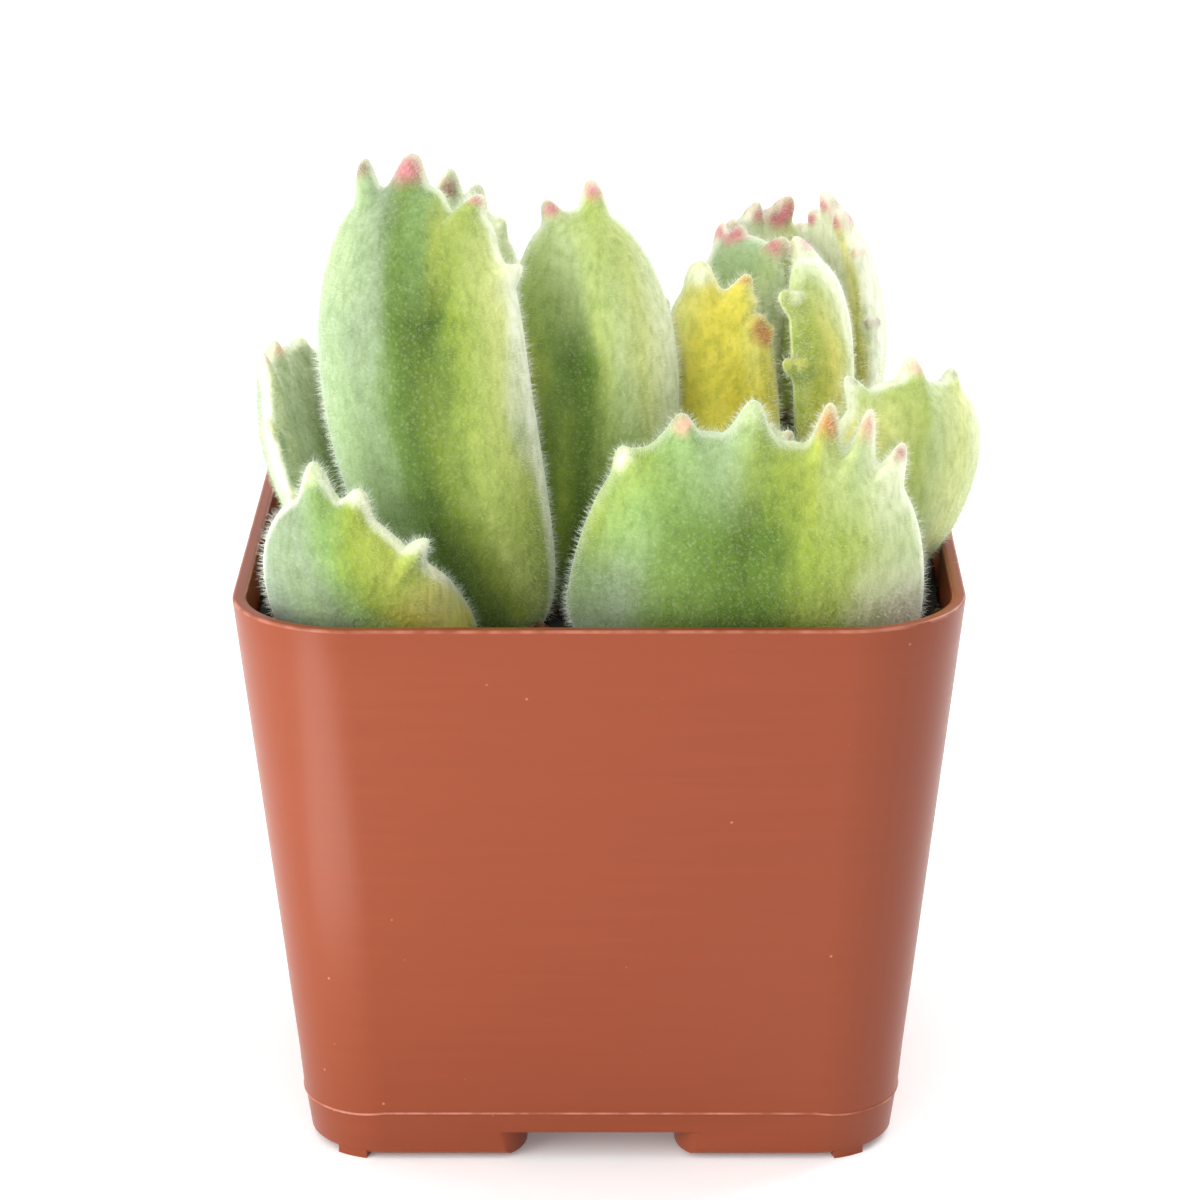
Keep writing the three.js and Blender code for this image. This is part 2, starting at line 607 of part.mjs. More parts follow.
// A block of soil as wide as the rim, with the lumpy surface on top.
function soilBlock() {
  const draw = makeDraw(7);
  const cells = Math.ceil((2 * RIM_HALF_WIDTH) / SOIL_CELL);
  const top = [];
  for (let row = 0; row <= cells; row++) {
    for (let column = 0; column <= cells; column++) {
      const x = -RIM_HALF_WIDTH + column * SOIL_CELL + (2 * draw() - 1) * SOIL_JITTER;
      const y = -RIM_HALF_WIDTH + row * SOIL_CELL + (2 * draw() - 1) * SOIL_JITTER;
      top.push([x, y, soilHeight(x, y, draw)]);
    }
  }
  const under = top.length;
  const index = (row, column) => row * (cells + 1) + column;
  const triangles = [];
  for (let row = 0; row < cells; row++) {
    for (let column = 0; column < cells; column++) {
      const [a, b] = [index(row, column), index(row, column + 1)];
      const [c, d] = [index(row + 1, column + 1), index(row + 1, column)];
      triangles.push([a, b, c], [a, c, d]);
      triangles.push([a + under, c + under, b + under], [a + under, d + under, c + under]);
    }
  }
  const edge = [];
  for (let i = 0; i < cells; i++) edge.push(index(0, i));
  for (let i = 0; i < cells; i++) edge.push(index(i, cells));
  for (let i = cells; i > 0; i--) edge.push(index(cells, i));
  for (let i = cells; i > 0; i--) edge.push(index(i, 0));
  edge.forEach((a, i) => {
    const b = edge[(i + 1) % edge.length];
    triangles.push([a, a + under, b + under], [a, b + under, b]);
  });
  const floor = top.map(([x, y]) => [x, y, 0]);
  return toSolid(fromTriangles([...top, ...floor], triangles));
}

// The soil fills the pot under its surface, but for the holes where stems and low leaves stand.
function makeSoil(holes) {
  let soil = potCavity(FIT_GAP, RIM_HEIGHT).intersect(soilBlock());
  for (const hole of holes) soil = soil.subtract(hole);
  const bodies = soil.decompose().sort((a, b) => b.volume() - a.volume());
  return bodies[0];
}

// Each piece has a plain colour and roughness of its own.
const finish = (color, roughness) => new THREE.MeshStandardMaterial({ color, roughness, metalness: 0 });
const POT_FINISH = ["#b4624a", 0.45];
const SOIL_FINISH = ["#2a211a", 0.95];
const STEM_FINISH = ["#7d7a4c", 0.8];
const LEAF_ROUGHNESS = 0.7;

const plant = new THREE.Group();

function show(name, solid, material) {
  const mesh = new THREE.Mesh(toGeometry(solid), material);
  mesh.name = name;
  plant.add(mesh);
}

const stems = Object.entries(STEMS);
const leaves = Object.entries(LEAVES);
show("pot", makePot(), finish(...POT_FINISH));

const sockets = stems.map(([, stem]) => makeStem(stem, FIT_GAP));
const pockets = leaves.map(([, leaf]) => makeLeaf(leaf, FIT_GAP));
show("soil", makeSoil([...sockets, ...pockets]), finish(...SOIL_FINISH));

for (const [name, stem] of stems) show(name, makeStem(stem), finish(...STEM_FINISH));
for (const [name, leaf] of leaves) {
  let solid = makeLeaf(leaf);
  for (const socket of sockets) solid = solid.subtract(socket);
  show(name, solid, finish(leaf.color, LEAF_ROUGHNESS));
}

const middle = new THREE.Box3().setFromObject(plant).getCenter(new THREE.Vector3());
plant.position.set(-middle.x, -middle.y, 0);

export default plant;
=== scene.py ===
"""A variegated bear's paw in a square nursery pot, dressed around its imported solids."""
import json
import math

import bmesh
import bpy
import numpy as np
from mathutils import Matrix, Vector, noise

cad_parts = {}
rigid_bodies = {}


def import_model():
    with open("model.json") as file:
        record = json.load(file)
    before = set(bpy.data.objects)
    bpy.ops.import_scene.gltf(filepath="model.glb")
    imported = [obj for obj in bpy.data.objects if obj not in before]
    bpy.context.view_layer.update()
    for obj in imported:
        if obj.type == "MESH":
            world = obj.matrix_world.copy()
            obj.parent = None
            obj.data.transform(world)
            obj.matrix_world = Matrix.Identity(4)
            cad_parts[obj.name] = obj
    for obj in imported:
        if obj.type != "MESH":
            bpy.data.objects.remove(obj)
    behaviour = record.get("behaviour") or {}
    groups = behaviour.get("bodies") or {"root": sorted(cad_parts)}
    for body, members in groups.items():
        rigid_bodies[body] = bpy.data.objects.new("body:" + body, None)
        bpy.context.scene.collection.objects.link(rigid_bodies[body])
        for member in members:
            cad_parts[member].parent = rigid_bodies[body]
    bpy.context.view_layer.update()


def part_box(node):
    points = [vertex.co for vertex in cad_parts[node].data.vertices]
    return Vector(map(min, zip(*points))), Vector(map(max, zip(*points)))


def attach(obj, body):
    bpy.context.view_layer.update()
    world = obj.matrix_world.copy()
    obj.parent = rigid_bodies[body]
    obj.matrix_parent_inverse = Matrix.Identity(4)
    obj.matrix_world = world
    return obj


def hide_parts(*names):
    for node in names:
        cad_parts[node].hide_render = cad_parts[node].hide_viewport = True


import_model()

bl_info = {
    "name": "Potted bear's paw",
    "version": (1, 0, 0),
    "blender": (4, 5, 0),
    "location": "View3D > Sidebar > Bear's Paw",
    "description": "Builds a variegated bear's paw succulent in a square nursery pot",
    "category": "Object",
}

MM = 0.001
# Patterns scaled by this run lengthwise on what grows upright.
UPRIGHT = (1, 1, 0.35)
POT_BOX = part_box("pot")
POT_MIDDLE = (POT_BOX[0] + POT_BOX[1]) / (2 * MM)

# The photograph is square, so a length in its pixels is a share of this.
IMAGE_SIDE = 1200
SENSOR = 36


# Sizes and numbers.

def mix(a, b, t):
    return a + (b - a) * t


def smooth(x):
    t = np.clip(x, 0, 1)
    return t * t * (3 - 2 * t)


def linear(hex_colour):
    """The linear colour of an sRGB hex value."""
    channels = [int(hex_colour[i : i + 2], 16) / 255 for i in (1, 3, 5)]
    return tuple(c / 12.92 if c <= 0.04045 else ((c + 0.055) / 1.055) ** 2.4 for c in channels)


def with_alpha(hex_colour):
    return (*linear(hex_colour), 1)


def wander(points, scale, seed=0):
    """Smooth noise from -1 to 1 at points in millimetres, with bumps about scale wide."""
    offset = Vector((seed * 17.3, seed * 7.1, seed * 3.7))
    return np.array([noise.noise(Vector(p) / scale + offset) for p in points])


# Meshes, objects and nodes.

def mesh_object(name, points, faces, materials=()):
    """An object at the origin from points in millimetres about the pot's middle."""
    placed = (np.asarray(points, float) + (POT_MIDDLE[0], POT_MIDDLE[1], 0)) * MM
    mesh = bpy.data.meshes.new(name)
    mesh.from_pydata(placed.tolist(), [], [tuple(int(i) for i in face) for face in faces])
    mesh.update()
    mesh.shade_smooth()
    for material in materials:
        mesh.materials.append(material)
    thing = bpy.data.objects.new(name, mesh)
    bpy.context.scene.collection.objects.link(thing)
    return thing


def note_on_points(thing, name, kind, values):
    """Stores a value for each point of a mesh, which materials and hairs read by name."""
    field = "color" if kind == "FLOAT_COLOR" else "value"
    noted = thing.data.attributes.new(name, kind, "POINT")
    noted.data.foreach_set(field, np.asarray(values).ravel())


def carry(thing, slot, *nodes):
    """Makes a piece part of the object, standing for the nodes that it dresses."""
    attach(thing, "root")
    if nodes:
        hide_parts(*nodes)


def baked_copy(thing, name):
    """A new object with the evaluated mesh of another, which is then removed."""
    evaluated = thing.evaluated_get(bpy.context.evaluated_depsgraph_get())
    mesh = bpy.data.meshes.new_from_object(evaluated)
    bpy.data.objects.remove(thing)
    mesh.name = name
    made = bpy.data.objects.new(name, mesh)
    bpy.context.scene.collection.objects.link(made)
    return made


def add(tree, kind, inputs=None, **settings):
    """Adds a node with its settings, and with its inputs set to values or linked to sockets."""
    made = tree.nodes.new(kind)
    for key, value in settings.items():
        setattr(made, key, value)
    for key, value in (inputs or {}).items():
        if isinstance(value, bpy.types.NodeSocket):
            tree.links.new(value, made.inputs[key])
        else:
            made.inputs[key].default_value = value
    return made


def new_material(name):
    """A material with its shader, and that shader's node tree."""
    material = bpy.data.materials.new(name)
    material.use_nodes = True
    return material, material.node_tree, material.node_tree.nodes["Principled BSDF"]


def ramp(tree, factor, stops):
    """A colour that runs through (place, hex colour) stops."""
    made = add(tree, "ShaderNodeValToRGB", {"Fac": factor})
    elements = made.color_ramp.elements
    while len(elements) < len(stops):
        elements.new(0.5)
    for element, (place, colour) in zip(elements, stops):
        element.position = place
        element.color = with_alpha(colour)
    return made.outputs[0]


def own_place(tree):
    """The place of a point on its own piece."""
    return add(tree, "ShaderNodeTexCoord").outputs["Object"]


def bumps(tree, place, width, detail):
    """Noise from 0 to 1 with bumps about so many millimetres wide."""
    values = {"Vector": place, "Scale": 1 / (width * MM), "Detail": detail}
    return add(tree, "ShaderNodeTexNoise", values).outputs["Fac"]


def cells(tree, place, width):
    """How far a point is from the middle of its cell, for cells about so many millimetres wide."""
    values = {"Vector": place, "Scale": 1 / (width * MM)}
    return add(tree, "ShaderNodeTexVoronoi", values).outputs["Distance"]


def blended(tree, share, below, above, how="MIX"):
    """One colour laid over another by a share from 0 to 1."""
    made = add(tree, "ShaderNodeMix", {"Factor": share, 6: below, 7: above},
               data_type="RGBA", blend_type=how)
    return made.outputs[2]


def spread(tree, value, **places):
    """A value mapped to a new range: from_low, from_high, to_low and to_high."""
    order = {"from_low": 1, "from_high": 2, "to_low": 3, "to_high": 4}
    values = {order[key]: place for key, place in places.items()}
    return add(tree, "ShaderNodeMapRange", {"Value": value, **values}).outputs[0]


def painted(tree, shader, colour):
    tree.links.new(colour, shader.inputs["Base Color"])


def raised(tree, shader, height, strength, depth):
    """Fine relief, by a height from 0 to 1 that stands for so many millimetres."""
    values = {"Height": height, "Strength": strength, "Distance": depth * MM}
    tree.links.new(add(tree, "ShaderNodeBump", values).outputs[0], shader.inputs["Normal"])


def lofted(rings):
    """Points and faces of a closed body through rings of equal count, lowest first."""
    count = len(rings[0])
    faces = []
    for level in range(len(rings) - 1):
        for i in range(count):
            a = level * count + i
            b = level * count + (i + 1) % count
            faces.append((a, b, b + count, a + count))
    faces.append(tuple(range(count))[::-1])
    faces.append(tuple(range((len(rings) - 1) * count, len(rings) * count)))
    return np.concatenate(rings), faces


# The pot: the same driving sizes as its solid, in millimetres.

RIM_HEIGHT = 46.2
RIM_HALF_WIDTH = 28.5
RIM_CORNER = 9.6
BASE_HALF_WIDTH = 23.5
BASE_CORNER = 6.6
WALL = 1.1
LIP_RADIUS = 0.26
LIP_STEPS = 5
FOOT_BEVEL = 0.25
NUB_HEIGHT = 0.45
NUB_WIDTH = 1.1
NUB_ARC = (51, 74)
CHANNEL_CEILING = 2.5
CHANNEL_HALF_WIDTH = 5.9
CHANNEL_MOUTH_RADIUS = 2.6
CHANNEL_MOUTH_DEPTH = 4
FLOOR_TOP = CHANNEL_CEILING + WALL
BAND_TOP = 4.9
BAND_DIP = 0.9
BAND_TURN = 0.55
BAND_INSET = 0.1
# The moulded line's section: rises above its middle, and insets from the wall.
BAND_SECTION = ((-0.14, BAND_INSET), (-0.06, -0.05), (0.04, -0.05), (0.12, 0))
DRAIN_RADIUS = 2.4
DRAIN_SIDES = 32
CORNERS = ((1, 1), (-1, 1), (-1, -1), (1, -1))
CORNER_STEPS = 24
ARC_STEPS = 10
WALL_RINGS = 12
OVERCUT = 2
SHARPEST_SMOOTH = 35
# The mould's seam shows pale on these rings, and the lip gets a painted highlight nearly as pale.
FLASH_RINGS = slice(3, 5)
LIP_RINGS = slice(-4, -1)
LIP_HIGHLIGHT = 0.7


def rounded_square(half, corner):
    reach = (half - corner) * math.sqrt(2)
    ring = []
    for quarter in range(4):
        for i in range(CORNER_STEPS + 1):
            angle = (quarter + i / CORNER_STEPS) * math.pi / 2
            middle = (quarter + 0.5) * math.pi / 2
            ring.append((
                reach * math.cos(middle) + corner * math.cos(angle),
                reach * math.sin(middle) + corner * math.sin(angle),
            ))
    return np.array(ring)


def pot_section(z):
    t = (z - NUB_HEIGHT) / (RIM_HEIGHT - NUB_HEIGHT)
    return mix(BASE_HALF_WIDTH, RIM_HALF_WIDTH, t), mix(BASE_CORNER, RIM_CORNER, t)


def pot_ring(z, inset=0.0):
    half, corner = pot_section(z)
    return at_height(rounded_square(half - inset, corner - inset), z)


def at_height(ring, z):
    heights = np.broadcast_to(z, len(ring))
    return np.column_stack([ring[:, 0], ring[:, 1], heights])


def band_ring(rise, inset):
    """The moulded line runs level along each side and dips at the corners."""
    ring = pot_ring(BAND_TOP, inset)
    half, corner = pot_section(BAND_TOP)
    toward_corner = np.abs(ring[:, :2]).min(axis=1) / (half - corner / 2)
    ring[:, 2] += rise - BAND_DIP * smooth((toward_corner - BAND_TURN) / (1 - BAND_TURN))
    return ring


def turned(ring, quarters):
    """A flat ring turned about the pot's axis by quarter turns."""
    angle = quarters * math.pi / 2
    turn = np.array([[math.cos(angle), math.sin(angle)], [-math.sin(angle), math.cos(angle)]])
    return ring @ turn


def prism(ring, low, high):
    return lofted([at_height(ring, low), at_height(ring, high)])


def channel_arm():
    """Half of the channel under the floor, with a mouth that flares as it leaves the wall."""
    half = CHANNEL_HALF_WIDTH
    mouth = pot_section(CHANNEL_CEILING)[0]
    side = []
    for angle in np.linspace(0, math.pi / 2, ARC_STEPS):
        side.append((
            half + CHANNEL_MOUTH_RADIUS * (1 - math.cos(angle)),
            mouth - CHANNEL_MOUTH_DEPTH * (1 - math.sin(angle)),
        ))
    side = np.array([(half, -1)] + side + [(half + CHANNEL_MOUTH_RADIUS, RIM_HALF_WIDTH)])
    return np.concatenate([side, (side * (-1, 1))[::-1]])


def nub_ring():
    centre = BASE_HALF_WIDTH - BASE_CORNER
    outer = BASE_CORNER - BAND_INSET
    angles = np.radians(np.linspace(*NUB_ARC, ARC_STEPS))
    arc = np.column_stack([np.cos(angles), np.sin(angles)])
    return np.concatenate([centre + arc * outer, (centre + arc * (outer - NUB_WIDTH))[::-1]])


def joined(shape, tools, operation):
    """The shape with each tool cut from it or joined to it."""
    for points, faces in tools:
        tool = mesh_object("tool", points, faces)
        cut = shape.modifiers.new("cut", "BOOLEAN")
        cut.object = tool
        cut.operation = operation
        cut.solver = "EXACT"
        made = baked_copy(shape, shape.name)
        bpy.data.objects.remove(tool)
        shape = made
    return shape


def lip_rings(inset, inward):
    """Rings that round the lip, from a wall at an inset: inward (1) or outward (-1)."""
    rings = []
    for angle in np.linspace(0, math.pi / 2, LIP_STEPS)[1:]:
        height = RIM_HEIGHT - LIP_RADIUS + LIP_RADIUS * math.sin(angle)
        rings.append(pot_ring(height, inset + inward * LIP_RADIUS * (1 - math.cos(angle))))
    return rings


def pot_shell():
    lip = RIM_HEIGHT - LIP_RADIUS
    rings = [
        pot_ring(NUB_HEIGHT, BAND_INSET + FOOT_BEVEL),
        pot_ring(NUB_HEIGHT + FOOT_BEVEL, BAND_INSET),
    ]
    rings += [band_ring(rise, inset) for rise, inset in BAND_SECTION]
    rings += [pot_ring(z) for z in np.linspace(BAND_TOP + 3, lip, WALL_RINGS)]
    rings += lip_rings(0, 1)
    shell = mesh_object("pot_shell", *lofted(rings))
    flash = np.zeros((len(rings), len(rings[0])))
    flash[FLASH_RINGS] = 1
    # The lip's rings hold a painted highlight, in the same attribute as the seam.
    flash[LIP_RINGS] = LIP_HIGHLIGHT
    note_on_points(shell, "flash", "FLOAT", flash)
    cavity = [pot_ring(z, WALL) for z in (FLOOR_TOP, (FLOOR_TOP + lip) / 2, lip)]
    cavity += lip_rings(WALL, -1)
    cavity.append(at_height(cavity[-1][:, :2], RIM_HEIGHT + OVERCUT))
    cuts = [lofted(cavity)]
    cuts += [prism(turned(channel_arm(), i), -OVERCUT, CHANNEL_CEILING) for i in range(4)]
    drain = DRAIN_RADIUS * turned_circle(DRAIN_SIDES)
    well = (CHANNEL_HALF_WIDTH + BASE_HALF_WIDTH) / 2
    for sx, sy in ((0, 0), *CORNERS):
        cuts.append(prism(drain + (sx * well, sy * well), -OVERCUT, FLOOR_TOP + OVERCUT))
    shell = joined(shell, cuts, "DIFFERENCE")
    nubs = []
    for flip in CORNERS:
        ring = nub_ring() * flip
        if flip[0] * flip[1] < 0:
            ring = ring[::-1]
        nubs.append(prism(ring, 0, NUB_HEIGHT + WALL / 2))
    shell = joined(shell, nubs, "UNION")
    shell.data.shade_smooth()
    shell.data.set_sharp_from_angle(angle=math.radians(SHARPEST_SMOOTH))
    return shell


def turned_circle(sides):
    angles = np.linspace(0, 2 * math.pi, sides, endpoint=False)
    return np.column_stack([np.cos(angles), np.sin(angles)])


def moulded_polypropylene(settings):
    """Polypropylene, injection moulded and satin: the flow of the melt leaves faint level streaks,
    the seam is worn paler in places, the lip has a patchy painted highlight, and dust shows as fine pale
    flecks."""
    material, tree, shader = new_material("moulded_polypropylene")
    place = own_place(tree)
    flow = add(tree, "ShaderNodeMapping", {"Vector": place, "Scale": (90, 90, 1400)}).outputs[0]
    streaks = add(tree, "ShaderNodeTexNoise", {"Vector": flow, "Scale": 1, "Detail": 3}).outputs["Fac"]
    pale = ramp(tree, streaks, [(0.3, "#fafafa"), (0.7, "#ffffff")])
    body = blended(tree, 0.8, with_alpha(settings.colour), pale, "MULTIPLY")
    flecks = ramp(tree, cells(tree, place, 3.2), [(0.0, "#ffffff"), (0.045, "#000000")])
    dusty = blended(tree, flecks, body, with_alpha(settings.dust))
    # This attribute holds the mould's seam and a painted highlight along the lip.
    flash = add(tree, "ShaderNodeAttribute", attribute_name="flash").outputs["Fac"]
    wear_and_highlight_patches = spread(tree, bumps(tree, place, 1.6, 4), from_low=0.35, from_high=0.6, to_low=0.2, to_high=1)
    seam_and_lip_highlight = add(tree, "ShaderNodeMath", {0: flash, 1: wear_and_highlight_patches}, operation="MULTIPLY").outputs[0]
    painted(tree, shader, blended(tree, seam_and_lip_highlight, dusty, with_alpha(settings.flash)))
    tree.links.new(spread(tree, streaks, to_low=0.28, to_high=0.38), shader.inputs["Roughness"])
    raised(tree, shader, bumps(tree, place, 0.5, 2), 0.12, 0.03)
    shader.inputs["IOR"].default_value = 1.49
    shader.inputs["Specular IOR Level"].default_value = 0.25
    shader.inputs["Subsurface Weight"].default_value = 0.05
    shader.inputs["Subsurface Radius"].default_value = (1.2 * MM, 0.5 * MM, 0.3 * MM)
    return material


# The soil: a lumpy surface that fills the pot, with crumbs, bark and grit lying on it.

SOIL_HEIGHT = 41.6
# The soil rises towards the wall, between these shares of the way out, and less at the front.
SOIL_RIM_RISE = 3.1
SOIL_RISE = (0.56, 0.96)
SOIL_FRONT_SHARE = 0.4
# Its lumps: height, width and seed.
SOIL_LUMPS = ((0.55, 4.2, 1), (0.4, 1.5, 2), (0.2, 0.7, 3))
SOIL_RINGS = 64
FIT_GAP = 0.3
# Grains lie where the surface looks up at least this much, and this many fit on a square metre.
LEAST_UPWARD = 0.3
GRAIN_DENSITY = 4e6
FULL_TURN = 6.28


def soil_body():
    around = rounded_square(1, RIM_CORNER / RIM_HALF_WIDTH)
    half = pot_section(SOIL_HEIGHT)[0] - WALL - FIT_GAP / 2
    rings = []
    for share in np.linspace(1, 0, SOIL_RINGS, endpoint=False):
        ring = around * half * share
        rise = smooth((share - SOIL_RISE[0]) / (SOIL_RISE[1] - SOIL_RISE[0]))
        rise = rise * mix(SOIL_FRONT_SHARE, 1, smooth(1.6 + 2 * ring[:, 1] / half))
        flat = at_height(ring, 0)
        lumps = sum(height * wander(flat, width, seed) for height, width, seed in SOIL_LUMPS)
        rings.append(at_height(ring, SOIL_HEIGHT + SOIL_RIM_RISE * rise + lumps))
    foot = at_height(around * (pot_section(FLOOR_TOP)[0] - WALL - FIT_GAP), FLOOR_TOP + FIT_GAP)
    return lofted([foot] + rings)


def potting_mix(settings):
    """Peat and composted bark, moist and crumbly: nearly black in the gaps, brown on the crumbs,
    with a few rusty fibres."""
    material, tree, shader = new_material("peat_potting_mix")
    place = own_place(tree)
    painted(tree, shader, ramp(tree, bumps(tree, place, 1.1, 6), [
        (0.3, settings.deep), (0.5, settings.middle), (0.66, settings.crumb), (0.78, settings.fibre),
    ]))
    raised(tree, shader, bumps(tree, place, 0.35, 3), 0.8, 0.2)
    shader.inputs["Roughness"].default_value = 0.9
    return material


def plain_grit(name, dark, light, roughness):
    """Loose grit of one kind, such as perlite or a flake of bark, with mottled faces."""
    material, tree, shader = new_material(name)
    mottle = bumps(tree, own_place(tree), 0.4, 3)
    painted(tree, shader, ramp(tree, mottle, [(0.35, dark), (0.65, light)]))
    shader.inputs["Roughness"].default_value = roughness
    return material


def new_geometry_tree(name, sizes):
    """A geometry node tree with a geometry socket and named inputs for its sizes."""
    tree = bpy.data.node_groups.new(name, "GeometryNodeTree")
    tree.interface.new_socket("Geometry", in_out="INPUT", socket_type="NodeSocketGeometry")
    tree.interface.new_socket("Geometry", in_out="OUTPUT", socket_type="NodeSocketGeometry")
    for label, kind in sizes.items():
        tree.interface.new_socket(label, in_out="INPUT", socket_type=kind)
    return tree, add(tree, "NodeGroupInput").outputs, add(tree, "NodeGroupOutput").inputs


def grown(bed, name, tree, values):
    """A new piece made by a geometry node tree on a copy of a bed."""
    copy = bed.copy()
    copy.data = bed.data.copy()
    bpy.context.scene.collection.objects.link(copy)
    modifier = copy.modifiers.new("grown", "NODES")
    modifier.node_group = tree
    for item in tree.interface.items_tree:
        if item.in_out == "INPUT" and item.name in values:
            modifier[item.identifier] = values[item.name]
    return baked_copy(copy, name)


def scatter_tree():
    """Lays small lumps on the faces that look up, at random turns and sizes."""
    tree, given, result = new_geometry_tree("scattered_lumps", {
        "Spacing": "NodeSocketFloat",
        "Smallest": "NodeSocketFloat",
        "Largest": "NodeSocketFloat",
        "Flatness": "NodeSocketFloat",
        "Seed": "NodeSocketInt",
        "Material": "NodeSocketMaterial",
    })
    normal = add(tree, "GeometryNodeInputNormal").outputs[0]
    up = add(tree, "ShaderNodeSeparateXYZ", {0: normal}).outputs["Z"]
    facing = add(tree, "FunctionNodeCompare", {0: up, 1: LEAST_UPWARD},
                 operation="GREATER_THAN").outputs[0]
    points = add(tree, "GeometryNodeDistributePointsOnFaces", {
        "Mesh": given["Geometry"], "Selection": facing, "Distance Min": given["Spacing"],
        "Density Max": GRAIN_DENSITY, "Seed": given["Seed"],
    }, distribute_method="POISSON")
    ball = add(tree, "GeometryNodeMeshIcoSphere", {"Radius": 0.5, "Subdivisions": 1}).outputs[0]
    spot = add(tree, "GeometryNodeInputPosition").outputs[0]
    rough = add(tree, "ShaderNodeTexNoise", {"Vector": spot, "Scale": 3.0})
    push = add(tree, "ShaderNodeVectorMath", {0: rough.outputs["Color"], 1: (0.5, 0.5, 0.5)},
               operation="SUBTRACT").outputs[0]
    lump = add(tree, "GeometryNodeSetPosition", {"Geometry": ball, "Offset": push}).outputs[0]
    spin = add(tree, "FunctionNodeRandomValue", {0: (0, 0, 0), 1: (FULL_TURN,) * 3, "Seed": 3},
               data_type="FLOAT_VECTOR").outputs[0]
    size = add(tree, "FunctionNodeRandomValue", {
        2: given["Smallest"], 3: given["Largest"], "Seed": 5,
    }, data_type="FLOAT").outputs[1]
    thin = add(tree, "ShaderNodeMath", {0: size, 1: given["Flatness"]}, operation="MULTIPLY").outputs[0]
    scale = add(tree, "ShaderNodeCombineXYZ", {"X": size, "Y": size, "Z": thin}).outputs[0]
    laid = add(tree, "GeometryNodeInstanceOnPoints", {
        "Points": points.outputs["Points"], "Instance": lump, "Rotation": spin, "Scale": scale,
    }).outputs[0]
    solid = add(tree, "GeometryNodeRealizeInstances", {"Geometry": laid}).outputs[0]
    tinted = add(tree, "GeometryNodeSetMaterial", {"Geometry": solid, "Material": given["Material"]})
    tree.links.new(tinted.outputs[0], result["Geometry"])
    return tree


# The stems: short woody shoots with a swollen ring where each pair of leaves joins.

# How far a swollen ring reaches up and down, and by what share it thickens the stem.
SWELLING_REACH = 0.9
SWELLING = 0.12
STEM_TAPER = 0.62
STEM_SUNK = 2
STEM_RING_STEP = 0.25
STEM_BEVEL = 0.4
STEM_SIDES = 36
BARK_DEPTH = 0.05
BARK_RIDGE = 1.1
STEMS = {
    "stem_left": {
        "foot": (-5.5, -7), "lean": (-0.5, 1.5), "top": 56.4, "radius": 2.4, "nodes": (43.4, 47.4, 51.9),
    },
    "stem_right": {
        "foot": (15.4, 7.4), "lean": (0.4, 0.4), "top": 53.4, "radius": 2.1, "nodes": (43.9, 47.9),
    },
    "stem_front": {
        "foot": (15, -8.4), "lean": (-0.6, 0.4), "top": 49.4, "radius": 2.3, "nodes": (42.9, 45.9),
    },
}


def stem_body(stem):
    circle = turned_circle(STEM_SIDES)
    rings = []
    heights = np.arange(SOIL_HEIGHT - STEM_SUNK, stem["top"] - STEM_BEVEL, STEM_RING_STEP)
    for z in np.append(heights, stem["top"]):
        t = np.clip((z - SOIL_HEIGHT) / (stem["top"] - SOIL_HEIGHT), 0, 1)
        swell = sum(math.exp(-(((z - node) / SWELLING_REACH) ** 2)) for node in stem["nodes"])
        radius = stem["radius"] * (mix(1, STEM_TAPER, t) + SWELLING * swell)
        if z == stem["top"]:
            radius *= STEM_TAPER
        centre = np.array(stem["foot"]) + np.array(stem["lean"]) * t
        ring = at_height(centre + circle * radius, z)
        bark = 1 + BARK_DEPTH * wander(ring * (1, 1, 0.4), BARK_RIDGE, 4)
        ring[:, :2] = centre + circle * (radius * bark)[:, None]
        rings.append(ring)
    return lofted(rings)


def young_bark(settings):
    """A young succulent stem turning to bark: green flesh under a thin brown skin that cracks
    lengthwise."""
    material, tree, shader = new_material("young_bark")
    upright = add(tree, "ShaderNodeMapping", {"Vector": own_place(tree), "Scale": UPRIGHT}).outputs[0]
    cracks = bumps(tree, upright, 0.9, 5)
    painted(tree, shader, ramp(tree, cracks, [
        (0.32, settings.crack), (0.5, settings.bark), (0.68, settings.flesh),
    ]))
    raised(tree, shader, cracks, 0.7, 0.2)
    shader.inputs["Roughness"].default_value = 0.75
    return material


# The leaves. Each has the sizes of its solid, and stripes of pigment, each with its place from the
# left margin (-1) to the right (1) as the outer face is seen: at the foot, the middle and the crown,
# whose places are shares of the leaf's length in zones, and on the inner face.
# A tooth is (degrees round the margin from the apex, length, half width, tip pigment, its reach), and
# a notch between teeth is (degrees, depth, half width). Where they are given, blunt is the flat share
# of a tooth's half width, and pale is how strong the painted sheen is on the left and the right margin.

PIGMENTS = {
    "ivory": "#fcfdee",
    "milk": "#f4f7da",
    "cream": "#dde296",
    "butter": "#efe985",
    "lemon": "#e4d852",
    "straw": "#d5c94a",
    "mustard": "#c0b22a",
    "frost": "#cbe0c4",
    "slate": "#8b9d7c",
    "pewter": "#a6bca6",
    "celadon": "#c6d59e",
    "sage": "#a5bc8c",
    "fresh": "#8cab64",
    "moss": "#728e40",
    "deep": "#5a7720",
    "olive": "#486214",
    "pear": "#b6c66c",
    "lime": "#94a83e",
    "chartreuse": "#b6c257",
    "rose": "#d6808c",
    "blush": "#e6b09c",
    "coral": "#cc8a50",
    "russet": "#8c5c48",
    "umber": "#5a4434",
}

